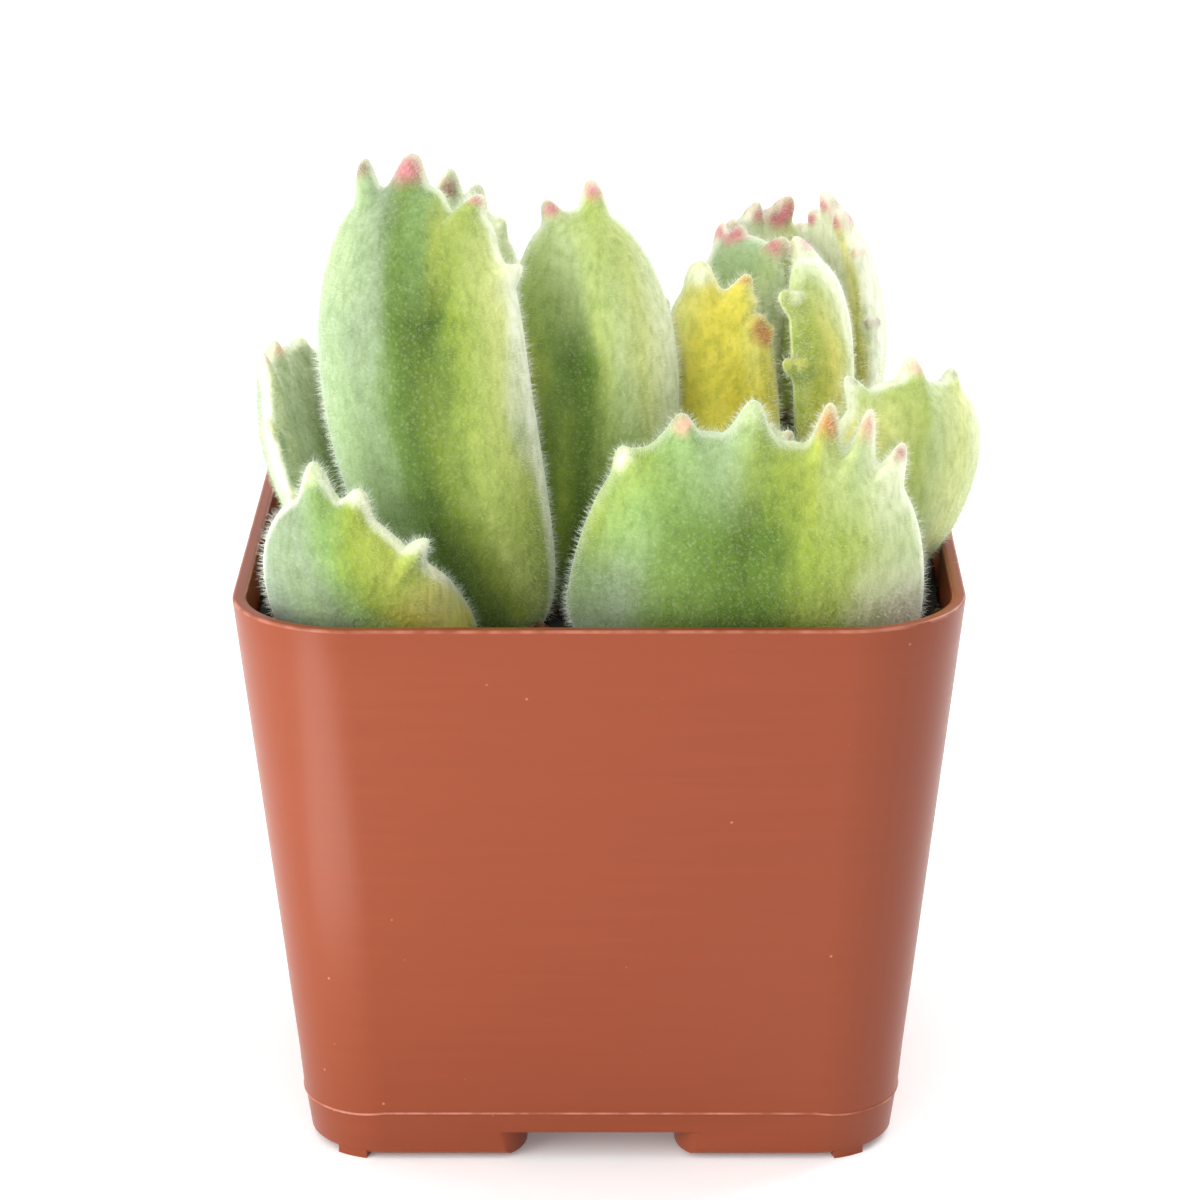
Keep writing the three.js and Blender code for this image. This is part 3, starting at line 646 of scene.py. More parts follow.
LEAVES = {
    "leaf_left_tall": {
        "base": (-6.4, -11.6, 39.9), "belly": (-16.2, -16.4, 56.4), "tip": (-13.9, -9.2, 76.2),
        "face": -14, "half": 8.5, "outer": 4.9, "inner": 3.2, "cup": 1.2,
        "widest": 0.6, "apex": 0.66, "taper": 0.8,
        "teeth": (
            (-20.2, 2.6, 1.3, "russet", 1.3), (-1.6, 2.3, 2, "rose", 2.1),
            (23.4, 1.4, 1.2, "rose", 1.2), (58.9, 1.4, 1.2, "milk", 1),
        ),
        "notches": ((14.8, 1.4, 2.2), (48.7, 0.4, 2.4)),
        "blunt": 0.16, "pale": (0.5, 1),
        "zones": (0.18, 0.74, 0.99),
        "foot": "-1 fresh, -0.25 fresh, 0 deep, 0.25 lime, 0.5 pear, 0.75 lime, 1 deep",
        "middle":
            "-1 pewter, -0.8 sage, -0.5 slate, -0.3 slate, -0.15 deep, 0.05 olive, 0.3 olive, "
            "0.4 deep, 0.5 lime, 0.64 pear, 0.78 cream, 0.9 milk, 1 milk",
        "crown":
            "-1 celadon, -0.5 sage, -0.25 slate, -0.05 moss, 0.12 fresh, 0.3 chartreuse, "
            "0.55 pear, 0.75 cream, 1 milk",
        "inside": "-1 cream, 0 fresh, 1 frost",
    },
    "leaf_centre_tall": {
        "base": (-2.4, -9, 41.2), "belly": (2.2, -8.5, 57.4), "tip": (-2.5, -4, 73),
        "face": 12, "half": 6.8, "outer": 4, "inner": 2.6, "cup": 1,
        "widest": 0.58, "apex": 0.86, "taper": 0.65,
        "teeth": (
            (-8.6, 1.5, 1.2, "rose", 1.3), (14.5, 2.3, 1.5, "rose", 1.4),
        ),
        "blunt": 0.14, "pale": (0.5, 1),
        "zones": (0.25, 0.64, 0.97),
        "foot": "-1 moss, -0.5 lime, -0.25 olive, 0 olive, 0.3 moss, 1 fresh",
        "middle":
            "-1 straw, -0.78 chartreuse, -0.6 moss, -0.42 olive, -0.22 deep, 0 pear, "
            "0.25 celadon, 0.5 cream, 0.75 milk, 1 milk",
        "crown": "-1 chartreuse, -0.7 pear, -0.2 celadon, 0.2 pear, 0.6 pear, 1 celadon",
        "inside": "-1 celadon, 0 fresh, 1 sage",
    },
    "leaf_left_behind": {
        "base": (-7.5, -3, 45.4), "belly": (-13, 4.6, 56.4), "tip": (-11.4, 2, 72.4),
        "face": 172, "half": 6.4, "outer": 4, "inner": 2.2, "cup": 1.4,
        "widest": 0.6, "apex": 0.8, "taper": 1.2,
        "teeth": (
            (-30.2, 0.8, 1.2, "milk", 0.8), (-8.6, 1.7, 1.5, "umber", 0.5),
            (4.3, 2.4, 1.7, "russet", 1.8), (60, 1.4, 1.2, "blush", 1),
        ),
        "zones": (0.15, 0.5, 0.92),
        "foot": "-1 lime, 0 moss, 1 fresh",
        "middle": "-1 cream, -0.2 fresh, 0.3 moss, 1 frost",
        "crown": "-1 cream, 0 pear, 1 celadon",
        "inside": "-1 pear, -0.55 cream, -0.1 sage, 1 sage",
    },
    "leaf_left_side": {
        "base": (-9.4, -5, 43), "belly": (-24, -2.2, 43.6), "tip": (-24.9, 2.4, 60.4),
        "face": -124, "half": 6.6, "outer": 3.2, "inner": 1.7, "cup": 1.6,
        "widest": 0.6, "apex": 0.72, "taper": 1,
        "teeth": (
            (-46, 1.5, 1.2, "rose", 1), (-3.2, 0.6, 1.2, "milk", 0.6),
            (19.1, 0.9, 1.2, "blush", 1), (39.2, 2.3, 1, "blush", 0.8), (66, 1.5, 1.1, "cream", 1),
            (92, 1.4, 1.1, "cream", 1),
        ),
        "zones": (0.3, 0.65, 0.95),
        "foot": "-1 sage, 0 moss, 1 lime",
        "middle": "-1 frost, -0.2 sage, 0.4 fresh, 1 frost",
        "crown": "-1 sage, 0 sage, 0.7 fresh, 1 moss",
        "inside":
            "-1 moss, -0.25 deep, 0.03 deep, 0.15 moss, 0.28 sage, 0.55 sage, 0.75 celadon, "
            "1 sage",
    },
    "leaf_front_left": {
        "base": (-9.8, -14.8, 40.4), "belly": (-19.8, -23.3, 41.4), "tip": (-22.1, -21.4, 54.8),
        "face": -14, "half": 6.8, "outer": 3, "inner": 1.9, "cup": 1,
        "widest": 0.5, "apex": 0.9, "taper": 0.85,
        "teeth": (
            (4.2, 2.1, 1.9, "celadon", 1.2), (29.6, 1.5, 1.7, "milk", 0.8),
            (70.9, 2.6, 2, "milk", 0.8),
        ),
        "notches": ((66.7, 0.7, 1.4),),
        "zones": (0.42, 0.6, 0.8),
        "foot":
            "-1 pewter, -0.4 pewter, -0.1 sage, 0.12 fresh, 0.3 chartreuse, 0.45 lemon, "
            "0.7 butter, 1 butter",
        "middle":
            "-1 frost, -0.6 pewter, -0.3 sage, 0 slate, 0.2 fresh, 0.4 lime, 0.6 chartreuse, "
            "0.8 chartreuse, 1 pear",
        "crown":
            "-1 pewter, -0.5 slate, -0.1 slate, 0.2 fresh, 0.4 lime, 0.6 chartreuse, "
            "0.8 chartreuse, 1 pear",
        "inside": "-1 cream, 0 pear, 1 frost",
    },
    "leaf_front_right": {
        "base": (10.4, -13, 38.4), "belly": (11, -24.2, 42), "tip": (13.3, -20.4, 59),
        "face": 2, "half": 13.8, "outer": 4.8, "inner": 2.6, "cup": 2,
        "widest": 0.38, "apex": 0.44, "taper": 0.42,
        "teeth": (
            (-38, 0.9, 1.4, "milk", 1), (-12.4, 1, 1.7, "blush", 0.9),
            (-0.5, 1.9, 2.3, "celadon", 1.2), (3.7, 2.3, 1.7, "coral", 1.7),
            (12.7, 2.5, 1.4, "blush", 1.4), (27, 2, 1.4, "rose", 0.9),
        ),
        "notches": ((-24.6, 0.3, 1.2),),
        "pale": (0.15, 0.9),
        "zones": (0.58, 0.78, 0.96),
        "foot":
            "-1 moss, -0.75 slate, -0.5 moss, -0.2 deep, 0.05 deep, 0.25 lime, 0.5 pear, "
            "0.75 milk, 1 ivory",
        "middle":
            "-1 lime, -0.75 fresh, -0.55 moss, -0.3 deep, -0.1 olive, 0.02 deep, 0.2 lime, "
            "0.35 lime, 0.55 pear, 0.75 celadon, 1 celadon",
        "crown":
            "-1 pear, -0.75 lime, -0.5 fresh, -0.25 sage, 0 lime, 0.25 chartreuse, 0.5 celadon, "
            "0.75 milk, 1 milk",
        "inside": "-1 celadon, 0 fresh, 1 pear",
    },
    "leaf_right_side": {
        "base": (17.8, -9, 43.1), "belly": (24.7, -10.6, 50), "tip": (25.7, -7.8, 60.2),
        "face": 33, "half": 7.4, "outer": 3, "inner": 2.1, "cup": 0.9,
        "widest": 0.6, "apex": 0.66, "taper": 0.9,
        "teeth": (
            (-48.2, 2.5, 1.2, "umber", 0.6), (-5.3, 1.7, 1.6, "blush", 1.2),
            (12.1, 1.2, 1.3, "umber", 0.6),
        ),
        "zones": (0.45, 0.75, 0.95),
        "foot": "-1 cream, 0 pear, 0.3 celadon, 0.5 cream, 1 celadon",
        "middle": "-1 butter, -0.5 cream, -0.2 pear, 0.05 celadon, 0.3 cream, 1 celadon",
        "crown": "-1 celadon, -0.5 pear, -0.2 pear, 0 celadon, 0.3 cream, 0.6 milk, 1 milk",
        "inside": "-1 cream, 0 pear, 1 celadon",
        "slot": "leaf_pale",
    },
    "leaf_yellow": {
        "base": (11.8, -6, 42.9), "belly": (9, -3.2, 54.4), "tip": (9.4, -0.6, 66.6),
        "face": -10, "half": 4.7, "outer": 2.6, "inner": 1.8, "cup": 0.6,
        "widest": 0.6, "apex": 0.66, "taper": 1,
        "teeth": (
            (-9.9, 1.5, 2, "milk", 1.8), (19.5, 1, 1.1, "coral", 0.8),
            (60.3, 0.6, 1.1, "coral", 1.4),
        ),
        "notches": ((2.4, 0.8, 1.3), (43.1, 0.6, 0.8)),
        "blunt": 0.1, "pale": (0.8, 0.2),
        "zones": (0.6, 0.8, 0.96),
        "foot": "-1 lemon, -0.4 lemon, 0.1 straw, 0.45 mustard, 0.8 lemon, 1 straw",
        "middle": "-1 butter, -0.5 butter, -0.25 lemon, 0.1 straw, 0.5 lemon, 0.8 butter, 1 lemon",
        "crown": "-1 milk, -0.5 butter, 0 straw, 0.4 lemon, 1 butter",
        "inside": "-1 butter, 0 straw, 1 lime",
        "slot": "leaf_yellow_flesh",
    },
    "leaf_pair_front": {
        "base": (16.2, 3, 45.4), "belly": (19.6, 0.6, 57.4), "tip": (16.2, 2.8, 67.6),
        "face": 80, "half": 4.8, "outer": 2.7, "inner": 1.5, "cup": 1.4,
        "widest": 0.6, "apex": 0.7, "taper": 1.1,
        "teeth": (
            (-88.4, 1.8, 1.2, "butter", 1), (-54.3, 1.8, 1.2, "milk", 1),
            (0.6, 1.8, 1.2, "rose", 1.3), (36, 1.4, 1.1, "rose", 1.2),
        ),
        "blunt": 0.3, "pale": (0.1, 1),
        "zones": (0.4, 0.68, 0.95),
        "foot": "-1 chartreuse, -0.75 lemon, -0.5 butter, -0.25 cream, 1 cream",
        "middle": "-1 lime, -0.85 chartreuse, -0.6 butter, -0.4 cream, -0.2 milk, 0 ivory, 1 ivory",
        "crown": "-1 chartreuse, -0.75 pear, -0.5 celadon, -0.25 milk, 0 ivory, 1 ivory",
        "inside": "-1 cream, -0.7 lime, 0.2 chartreuse, 1 lime",
        "slot": "leaf_yellow_flesh",
    },
    "leaf_pair_back": {
        "base": (13.4, 9.8, 44.9), "belly": (11, 14.4, 57.4), "tip": (13.3, 12.8, 68.6),
        "face": -142, "half": 5.2, "outer": 2.8, "inner": 1.5, "cup": 1.6,
        "widest": 0.66, "apex": 0.6, "taper": 1.1,
        "teeth": (
            (-12.1, 2.1, 1, "rose", 1.5), (-4.7, 0.9, 0.8, "rose", 1.5),
            (2.9, 1.5, 0.9, "rose", 1.5), (30, 1.4, 1, "rose", 1.4), (58, 1.4, 1.1, "rose", 1.4),
        ),
        "blunt": 0.3,
        "zones": (0.15, 0.5, 0.92),
        "foot": "-1 moss, 0 fresh, 1 lime",
        "middle": "-1 frost, 0 sage, 1 cream",
        "crown": "-1 frost, 0 sage, 1 celadon",
        "inside": "-1 lime, -0.5 chartreuse, 0 celadon, 1 frost",
    },
    "leaf_pair_left": {
        "base": (13, 4.2, 45.9), "belly": (8.8, 3.6, 57.4), "tip": (12.2, 6.1, 68.6),
        "face": -40, "half": 4.4, "outer": 2.3, "inner": 1.3, "cup": 1,
        "widest": 0.66, "apex": 0.6, "taper": 1.1,
        "teeth": (
            (-32.4, 1.6, 0.9, "rose", 1.5), (-6.1, 0.6, 0.9, "rose", 1.5),
            (28, 1.5, 1.1, "rose", 1.4),
        ),
        "blunt": 0.3, "pale": (0.6, 0.5),
        "zones": (0.2, 0.55, 0.9),
        "foot": "-1 cream, 0.6 butter, 1 butter",
        "middle": "-1 sage, -0.6 ivory, -0.35 sage, 0.5 celadon, 0.8 milk, 1 butter",
        "crown": "-1 celadon, -0.65 ivory, -0.4 sage, 0.4 sage, 0.7 celadon, 1 frost",
        "inside": "-1 celadon, 0 pear, 1 frost",
    },
    "leaf_right_behind": {
        "base": (19, 10.6, 44.9), "belly": (22.7, 12.8, 58.4), "tip": (18.2, 14.4, 68.4),
        "face": 118, "half": 5.2, "outer": 2.6, "inner": 1.4, "cup": 0.8,
        "widest": 0.6, "apex": 0.7, "taper": 1.1,
        "teeth": (
            (-92, 1.2, 1, "russet", 0.7), (-60, 1.4, 1, "coral", 0.7),
            (-33, 1.6, 1.2, "rose", 1.4), (-13.1, 2.3, 1.1, "rose", 1.6),
            (6.1, 0.7, 0.9, "rose", 1.2), (34, 1.5, 1.1, "rose", 1.2),
        ),
        "blunt": 0.28,
        "zones": (0.15, 0.5, 0.92),
        "foot": "-1 cream, 0 butter, 1 pear",
        "middle": "-1 ivory, -0.8 ivory, -0.6 cream, -0.3 milk, 0.2 cream, 1 milk",
        "crown": "-1 ivory, -0.4 milk, 0.3 cream, 1 milk",
        "inside": "-1 ivory, -0.85 butter, -0.65 butter, -0.5 milk, 0.3 milk, 1 ivory",
        "slot": "leaf_pale",
    },
    "leaf_bud_left": {
        "base": (-6.6, -4.8, 55.4), "belly": (-8, -4.2, 58.4), "tip": (-7, -5, 62),
        "face": -110, "half": 2, "outer": 1.1, "inner": 0.7, "cup": 0.5,
        "widest": 0.6, "apex": 0.75, "taper": 1,
        "teeth": (
            (-30, 0.6, 0.7, "rose", 0.5), (4, 0.8, 0.7, "rose", 0.6), (36, 0.6, 0.7, "rose", 0.5),
        ),
        "zones": (0.15, 0.5, 0.92),
        "foot": "-1 lime, 1 fresh",
        "middle": "-1 pear, 1 sage",
        "crown": "-1 pear, 1 celadon",
        "inside": "-1 pear, 1 celadon",
    },
    "leaf_bud_front": {
        "base": (13.8, -7.6, 49), "belly": (13.4, -6, 52), "tip": (13.8, -7.4, 55.8),
        "face": -170, "half": 2.1, "outer": 1.1, "inner": 0.7, "cup": 0.5,
        "widest": 0.6, "apex": 0.75, "taper": 1,
        "teeth": (
            (-30, 0.6, 0.7, "rose", 0.5), (4, 0.8, 0.7, "rose", 0.6), (36, 0.6, 0.7, "rose", 0.5),
        ),
        "zones": (0.15, 0.5, 0.92),
        "foot": "-1 lime, 1 fresh",
        "middle": "-1 pear, 1 sage",
        "crown": "-1 pear, 1 celadon",
        "inside": "-1 pear, 1 celadon",
    },
    "leaf_back_centre": {
        "base": (-3, -2.8, 42.9), "belly": (0, 10, 43.4), "tip": (0.6, 17.6, 60.4),
        "face": 178, "half": 7, "outer": 4.2, "inner": 2.4, "cup": 1.2,
        "widest": 0.6, "apex": 0.68, "taper": 0.9,
        "teeth": (
            (-58, 1.4, 1.3, "rose", 1), (-30, 1.6, 1.4, "russet", 1.1), (-4, 2, 1.6, "rose", 1.7),
            (24, 1.7, 1.4, "rose", 1.3), (54, 1.4, 1.3, "blush", 1),
        ),
        "zones": (0.2, 0.5, 0.92),
        "foot": "-1 moss, -0.2 deep, 0.4 moss, 1 lime",
        "middle": "-1 frost, -0.5 sage, 0 deep, 0.4 fresh, 1 cream",
        "crown": "-1 celadon, 0 fresh, 0.5 pear, 1 cream",
        "inside": "-1 cream, -0.3 pear, 0.3 fresh, 1 frost",
    },
    "leaf_back_left": {
        "base": (-8.4, -2.2, 43), "belly": (-15.6, 10.8, 43.4), "tip": (-17.8, 16.2, 58.9),
        "face": -150, "half": 6.6, "outer": 3.8, "inner": 2.3, "cup": 1.2,
        "widest": 0.6, "apex": 0.68, "taper": 0.9,
        "teeth": (
            (-56, 1.4, 1.3, "blush", 1), (-26, 1.7, 1.4, "rose", 1.3), (2, 1.9, 1.5, "rose", 1.6),
            (30, 1.7, 1.4, "coral", 1.2), (60, 1.4, 1.2, "rose", 1),
        ),
        "zones": (0.2, 0.5, 0.92),
        "foot": "-1 lime, 0 deep, 1 moss",
        "middle": "-1 cream, -0.4 chartreuse, 0.1 moss, 0.5 sage, 1 frost",
        "crown": "-1 milk, -0.4 pear, 0.3 celadon, 1 frost",
        "inside": "-1 frost, 0 sage, 0.6 pear, 1 milk",
    },
    "leaf_back_right": {
        "base": (15.8, 11, 43), "belly": (16.6, 19.6, 43.9), "tip": (17, 22.4, 57.8),
        "face": 176, "half": 6.8, "outer": 3, "inner": 2, "cup": 1.2,
        "widest": 0.58, "apex": 0.66, "taper": 0.9,
        "teeth": (
            (-54, 1.4, 1.2, "rose", 1), (-26, 1.6, 1.3, "rose", 1.3), (0, 1.8, 1.4, "russet", 1.3),
            (28, 1.6, 1.3, "rose", 1.2), (56, 1.4, 1.2, "blush", 1),
        ),
        "zones": (0.2, 0.5, 0.92),
        "foot": "-1 lime, 0 deep, 1 moss",
        "middle": "-1 milk, -0.5 chartreuse, 0 moss, 0.4 sage, 1 frost",
        "crown": "-1 cream, -0.2 pear, 0.5 fresh, 1 celadon",
        "inside": "-1 celadon, 0 fresh, 1 cream",
    },
}

# The midline reaches these shares of the way from the widest place to the base and the apex, and
# the leaf keeps these shares of its thickness there.
MEDIAL_BASE = 0.8
MEDIAL_APEX = 0.5
THIN_BASE = 0.55
THIN_APEX = 0.78
ROUNDING = 2.2
EDGE_BLUNTNESS = 0.6
TOOTH_RAKE = 0.45
TOOTH_ROOT = 0.62
TOOTH_SHARPNESS = 1.15
TOOTH_FROM = 0.8
TOOTH_FLAT = 0.06
COLUMN_SPACING = 0.34
FEWEST_COLUMNS = 48
RING_COUNT = 24
RING_CROWDING = 1.7
FIRST_RING = 0.03
# Mirrored columns reach equally far but for rounding, so a lead under this doesn't count.
NEAR_TIE = 1e-6
# The skin's dents: depth, width and a step of the seed.
DENTS = ((0.16, 5, 5), (0.07, 1.8, 6))
# Where the stripes waver: by how much, over what width, and a step of the seed.
STRIPE_WAVER = ((0.12, 2.6, 0), (0.06, 0.9, 1))
ZONE_WAVER = (0.05, 4, 2)
STAIN_WAVER = (0.25, 0.8, 3)
STRIPE_STRETCH = 0.28
# The inner face darkens to this share of its colour at the foot: partly its own colour, partly painted
# shade where the leaves clasp.
INSIDE_FOOT_SHADE = 0.7
INSIDE_CROWN_MILK = 0.35
# The margin's painted sheen, for the glow of its hairs edge on, with the width that it fades over, and
# the widths of fringe and tooth outline.
EDGE_SHEEN = 0.75
EDGE_SHEEN_WIDTH = 0.38
EDGE_SHEEN_ENDS = (-0.9, 0.9)
FRINGE_WIDTH = 0.7
TOOTH_OUTLINE = 0.22
OUTLINE_SHARE = 0.75
STAIN_EDGE = (1.5, 0.9)
# Points of the inner face are told from those of the outer face by this in the noise.
FACE_APART = 40.0


def leaf_slot(leaf):
    return leaf.get("slot", "leaf_green_striped")


def curve_point(leaf, s):
    base, belly, tip = (np.array(leaf[key], float) for key in ("base", "belly", "tip"))
    s = np.asarray(s, float)[..., None]
    return base * (1 - s) ** 2 + belly * 2 * s * (1 - s) + tip * s * s


def curve_length(leaf):
    steps = curve_point(leaf, np.linspace(0, 1, 201))
    return float(np.linalg.norm(np.diff(steps, axis=0), axis=1).sum())


def margin_points(leaf, degrees):
    """Points of the toothless margin, as (across, along), at angles from the apex."""
    angle = np.radians(degrees)
    middle = leaf["widest"] * leaf["length"]
    rise = np.cos(angle)
    power = np.where(rise > 0, leaf["apex"], mix(leaf["apex"], leaf["taper"], smooth(-2 * rise)))
    across = np.sign(np.sin(angle)) * leaf["half"] * np.abs(np.sin(angle)) ** power
    above = middle + (leaf["length"] - middle) * np.maximum(rise, 0) ** (0.5 + leaf["apex"] / 2)
    return np.stack([across, np.where(rise > 0, above, middle * (1 + rise))], axis=-1)


def margin_shift(leaf, degrees):
    """How teeth raise the margin at angles, how notches lower it, and the flesh of teeth there."""
    points = margin_points(leaf, degrees)
    along = margin_points(leaf, degrees + 1) - margin_points(leaf, degrees - 1)
    along /= np.linalg.norm(along, axis=-1, keepdims=True)
    out = np.stack([-along[:, 1], along[:, 0]], axis=-1)
    rise, claw, depth = np.zeros((3, len(points)))
    for at, long, half, *_ in leaf["teeth"]:
        away = np.linalg.norm(points - margin_points(leaf, at), axis=-1) / half
        flat = leaf.get("blunt", TOOTH_FLAT)
        dome = np.minimum(away / flat, 1) ** 2
        slope = np.clip((away - flat) / (1 - flat), 0, 1)
        share = (0.5 * (1 + np.cos(np.pi * slope))) ** TOOTH_SHARPNESS * (1 - 0.4 * flat * dome)
        rise = np.maximum(rise, share * long)
        claw = np.maximum(claw, share * half * TOOTH_ROOT)
    for at, deep, half in leaf.get("notches", ()):
        away = np.linalg.norm(points - margin_points(leaf, at), axis=-1) / half
        depth = np.maximum(depth, 0.5 * (1 + np.cos(np.pi * np.minimum(away, 1))) * deep)
    lift = out * (rise * (1 - TOOTH_RAKE))[:, None]
    lift[:, 1] += rise * TOOTH_RAKE
    return lift, -out * depth[:, None], claw


def margin_angles(leaf):
    """Angles that step evenly along the toothed outline."""
    degrees = np.linspace(-180, 180, 1441)
    lift, dip, _claw = margin_shift(leaf, degrees)
    outline = margin_points(leaf, degrees) + lift + dip
    run = np.append(0, np.cumsum(np.linalg.norm(np.diff(outline, axis=0), axis=1)))
    count = max(FEWEST_COLUMNS, round(run[-1] / COLUMN_SPACING))
    return np.interp(np.linspace(0, run[-1], count, endpoint=False), run, degrees)


def face_thickness(leaf, along, full):
    middle = leaf["widest"] * leaf["length"]
    below = mix(THIN_BASE, 1, smooth(along / middle))
    above = mix(1, THIN_APEX, ((along - middle) / (leaf["length"] - middle)) ** 2)
    return full * np.where(along <= middle, below, above)


def place(leaf, across, along, height):
    """Bends points over the leaf's plane to their place in space."""
    base, belly, tip = (np.array(leaf[key], float) for key in ("base", "belly", "tip"))
    s = (along / leaf["length"])[:, None]
    tangent = (belly - base) * (1 - s) + (tip - belly) * s
    tangent /= np.linalg.norm(tangent, axis=1, keepdims=True)
    turn = math.radians(leaf["face"])
    facing = np.array([math.sin(turn), -math.cos(turn), 0])
    outward = facing - tangent * (tangent @ facing)[:, None]
    outward /= np.linalg.norm(outward, axis=1, keepdims=True)
    right = np.cross(tangent, outward)
    drawn = height - leaf["cup"] * (across / leaf["half"]) ** 2
    return curve_point(leaf, s[:, 0]) + right * across[:, None] + outward * drawn[:, None]


def leaf_rings(leaf):
    """The flat layout of a leaf: for each ring and column its across, along and share of the way
    from the midline to the margin, with the flesh of the tooth that stands there."""
    degrees = margin_angles(leaf)
    margin = margin_points(leaf, degrees)
    lift, dip, claw = margin_shift(leaf, degrees)
    middle = leaf["widest"] * leaf["length"]
    pull = np.where(margin[:, 1] < middle, MEDIAL_BASE, MEDIAL_APEX)
    medial = middle + (margin[:, 1] - middle) * pull
    share = 1 - (1 - np.linspace(FIRST_RING, 1, RING_COUNT)) ** RING_CROWDING
    t = share[:, None]
    toothed = np.clip((t - TOOTH_FROM) / (1 - TOOTH_FROM), 0, 1) ** 1.2
    across = margin[:, 0] * t + lift[:, 0] * toothed + dip[:, 0] * t**2
    along = mix(medial, margin[:, 1], t) + lift[:, 1] * toothed + dip[:, 1] * t**2
    return {
        "across": across,
        "along": along,
        "medial": np.broadcast_to(medial, across.shape),
        "share": np.broadcast_to(t, across.shape),
        "claw": claw * np.sqrt(np.maximum(1 - toothed**2, 0)) * smooth((t - 0.5) / 0.35),
        "inward": np.linalg.norm(margin - np.column_stack([0 * medial, medial]), axis=1) * (1 - t),
    }


def leaf_faces(rings, count, reach):
    """Faces of both sides of a leaf, which share the outermost ring, filled across the midline."""
    inside = rings * count
    faces = []
    for ring in range(rings - 1):
        for column in range(count):
            following = (column + 1) % count
            for side in (0, inside):
                shared = 0 if ring + 2 == rings else side
                a = side + ring * count + column
                b = shared + (ring + 1) * count + column
                c = shared + (ring + 1) * count + following
                d = side + ring * count + following
                faces.append((a, d, c, b) if side == 0 else (a, b, c, d))
    left, right = 0, count - 1
    while right - left > 1:
        climb_left = reach[left + 1] < reach[right - 1] - NEAR_TIE
        following = left + 1 if climb_left else right - 1
        faces.append((left, right, following))
        faces.append((inside + left, inside + following, inside + right))
        if climb_left:
            left = following
        else:
            right = following
    return faces


def stripes(row, across):
    """Linear pigment colours at places across a leaf, from stripes such as "-1 moss, 1 lime"."""
    stops = [stripe.split() for stripe in row.split(", ")]
    places = [float(spot) for spot, _pigment in stops]
    colours = np.array([linear(PIGMENTS[pigment]) for _spot, pigment in stops])
    return np.stack([np.interp(across, places, colours[:, i]) for i in range(3)], axis=-1)


def flat_points(across, along, side):
    return np.column_stack([across, along, np.full(len(across), FACE_APART * side)])


def skin_colours(leaf, layout, side, seed):
    """Colours of one face: stripes that waver, a margin whitened as a painted sheen, and the tip of each
    tooth.
    """

    def wavered(points, waver):
        amount, width, step = waver
        return amount * wander(points, width, seed + step)

    across, along, inward = (layout[key].ravel() for key in ("across", "along", "inward"))
    flat = flat_points(across, along, side)
    stretched = flat * (1, STRIPE_STRETCH, 1)
    u = across / leaf["half"]
    for waver in STRIPE_WAVER:
        u = u + wavered(stretched, waver)
    v = along / leaf["length"] + wavered(flat, ZONE_WAVER)
    if side > 0:
        low, mid, high = (stripes(leaf[key], u) for key in ("foot", "middle", "crown"))
    else:
        mid = stripes(leaf["inside"], u)
        # Partly painted shade: the inner face is darker at its foot, where the leaves clasp one another.
        low = mid * INSIDE_FOOT_SHADE
        high = mix(mid, linear(PIGMENTS["milk"]), INSIDE_CROWN_MILK)
    foot, middle, crown = leaf["zones"]
    colour = mix(low, mid, np.clip((v - foot) / (middle - foot), 0, 1)[:, None])
    colour = mix(colour, high, np.clip((v - middle) / (crown - middle), 0, 1)[:, None])
    # Painted sheen: the margin turns ivory, standing for the glow of its hairs seen edge on.
    pale = EDGE_SHEEN * np.exp(-((inward / EDGE_SHEEN_WIDTH) ** 4))
    pale *= np.interp(across / leaf["half"], EDGE_SHEEN_ENDS, leaf.get("pale", (1, 1)))
    colour = mix(colour, np.array(linear(PIGMENTS["ivory"])), pale[:, None])
    # The tooth stains keep off the very margin, so the painted sheen shows as a pale outline round each
    # tip.
    rim = np.exp(-((inward / TOOTH_OUTLINE) ** 2))
    for at, _long, _half, pigment, reach in leaf["teeth"]:
        tip = margin_points(leaf, np.array([at])) + margin_shift(leaf, np.array([float(at)]))[0]
        away = np.hypot(across - tip[0, 0], along - tip[0, 1]) + wavered(flat, STAIN_WAVER)
        stain = smooth((reach * STAIN_EDGE[0] - away) / (reach * STAIN_EDGE[1]))
        stain = stain * (1 - OUTLINE_SHARE * rim)
        colour = mix(colour, np.array(linear(PIGMENTS[pigment])), stain[:, None])
    return colour


def leaf_body(name, leaf, seed):
    layout = leaf_rings(leaf)
    rings, count = layout["across"].shape
    across, along, medial = (layout[key].ravel() for key in ("across", "along", "medial"))
    share = layout["share"].ravel()
    claw = layout["claw"].ravel()
    points, colours = [], []
    for full, side in ((leaf["outer"], 1), (leaf["inner"], -1)):
        body = face_thickness(leaf, medial, full) * (1 - share**ROUNDING) ** EDGE_BLUNTNESS
        flesh = (body**3 + claw**3) ** (1 / 3)
        flat = flat_points(across, along, side)
        dents = sum(depth * wander(flat, width, seed + step) for depth, width, step in DENTS)
        dents = (1 - share**4) * dents
        points.append(place(leaf, across, along, side * (flesh + dents)))
        colours.append(skin_colours(leaf, layout, side, seed))
    faces = leaf_faces(rings, count, layout["along"][0])
    made = mesh_object(name, np.concatenate(points), faces)
    fringe = np.exp(-((layout["inward"].ravel() / FRINGE_WIDTH) ** 2))
    note_on_points(made, "fringe", "FLOAT", np.tile(fringe, 2))
    colour = np.concatenate(colours)
    note_on_points(made, "flesh", "FLOAT_COLOR", np.column_stack([colour, np.ones(len(colour))]))
    drop_loose(made)
    return made


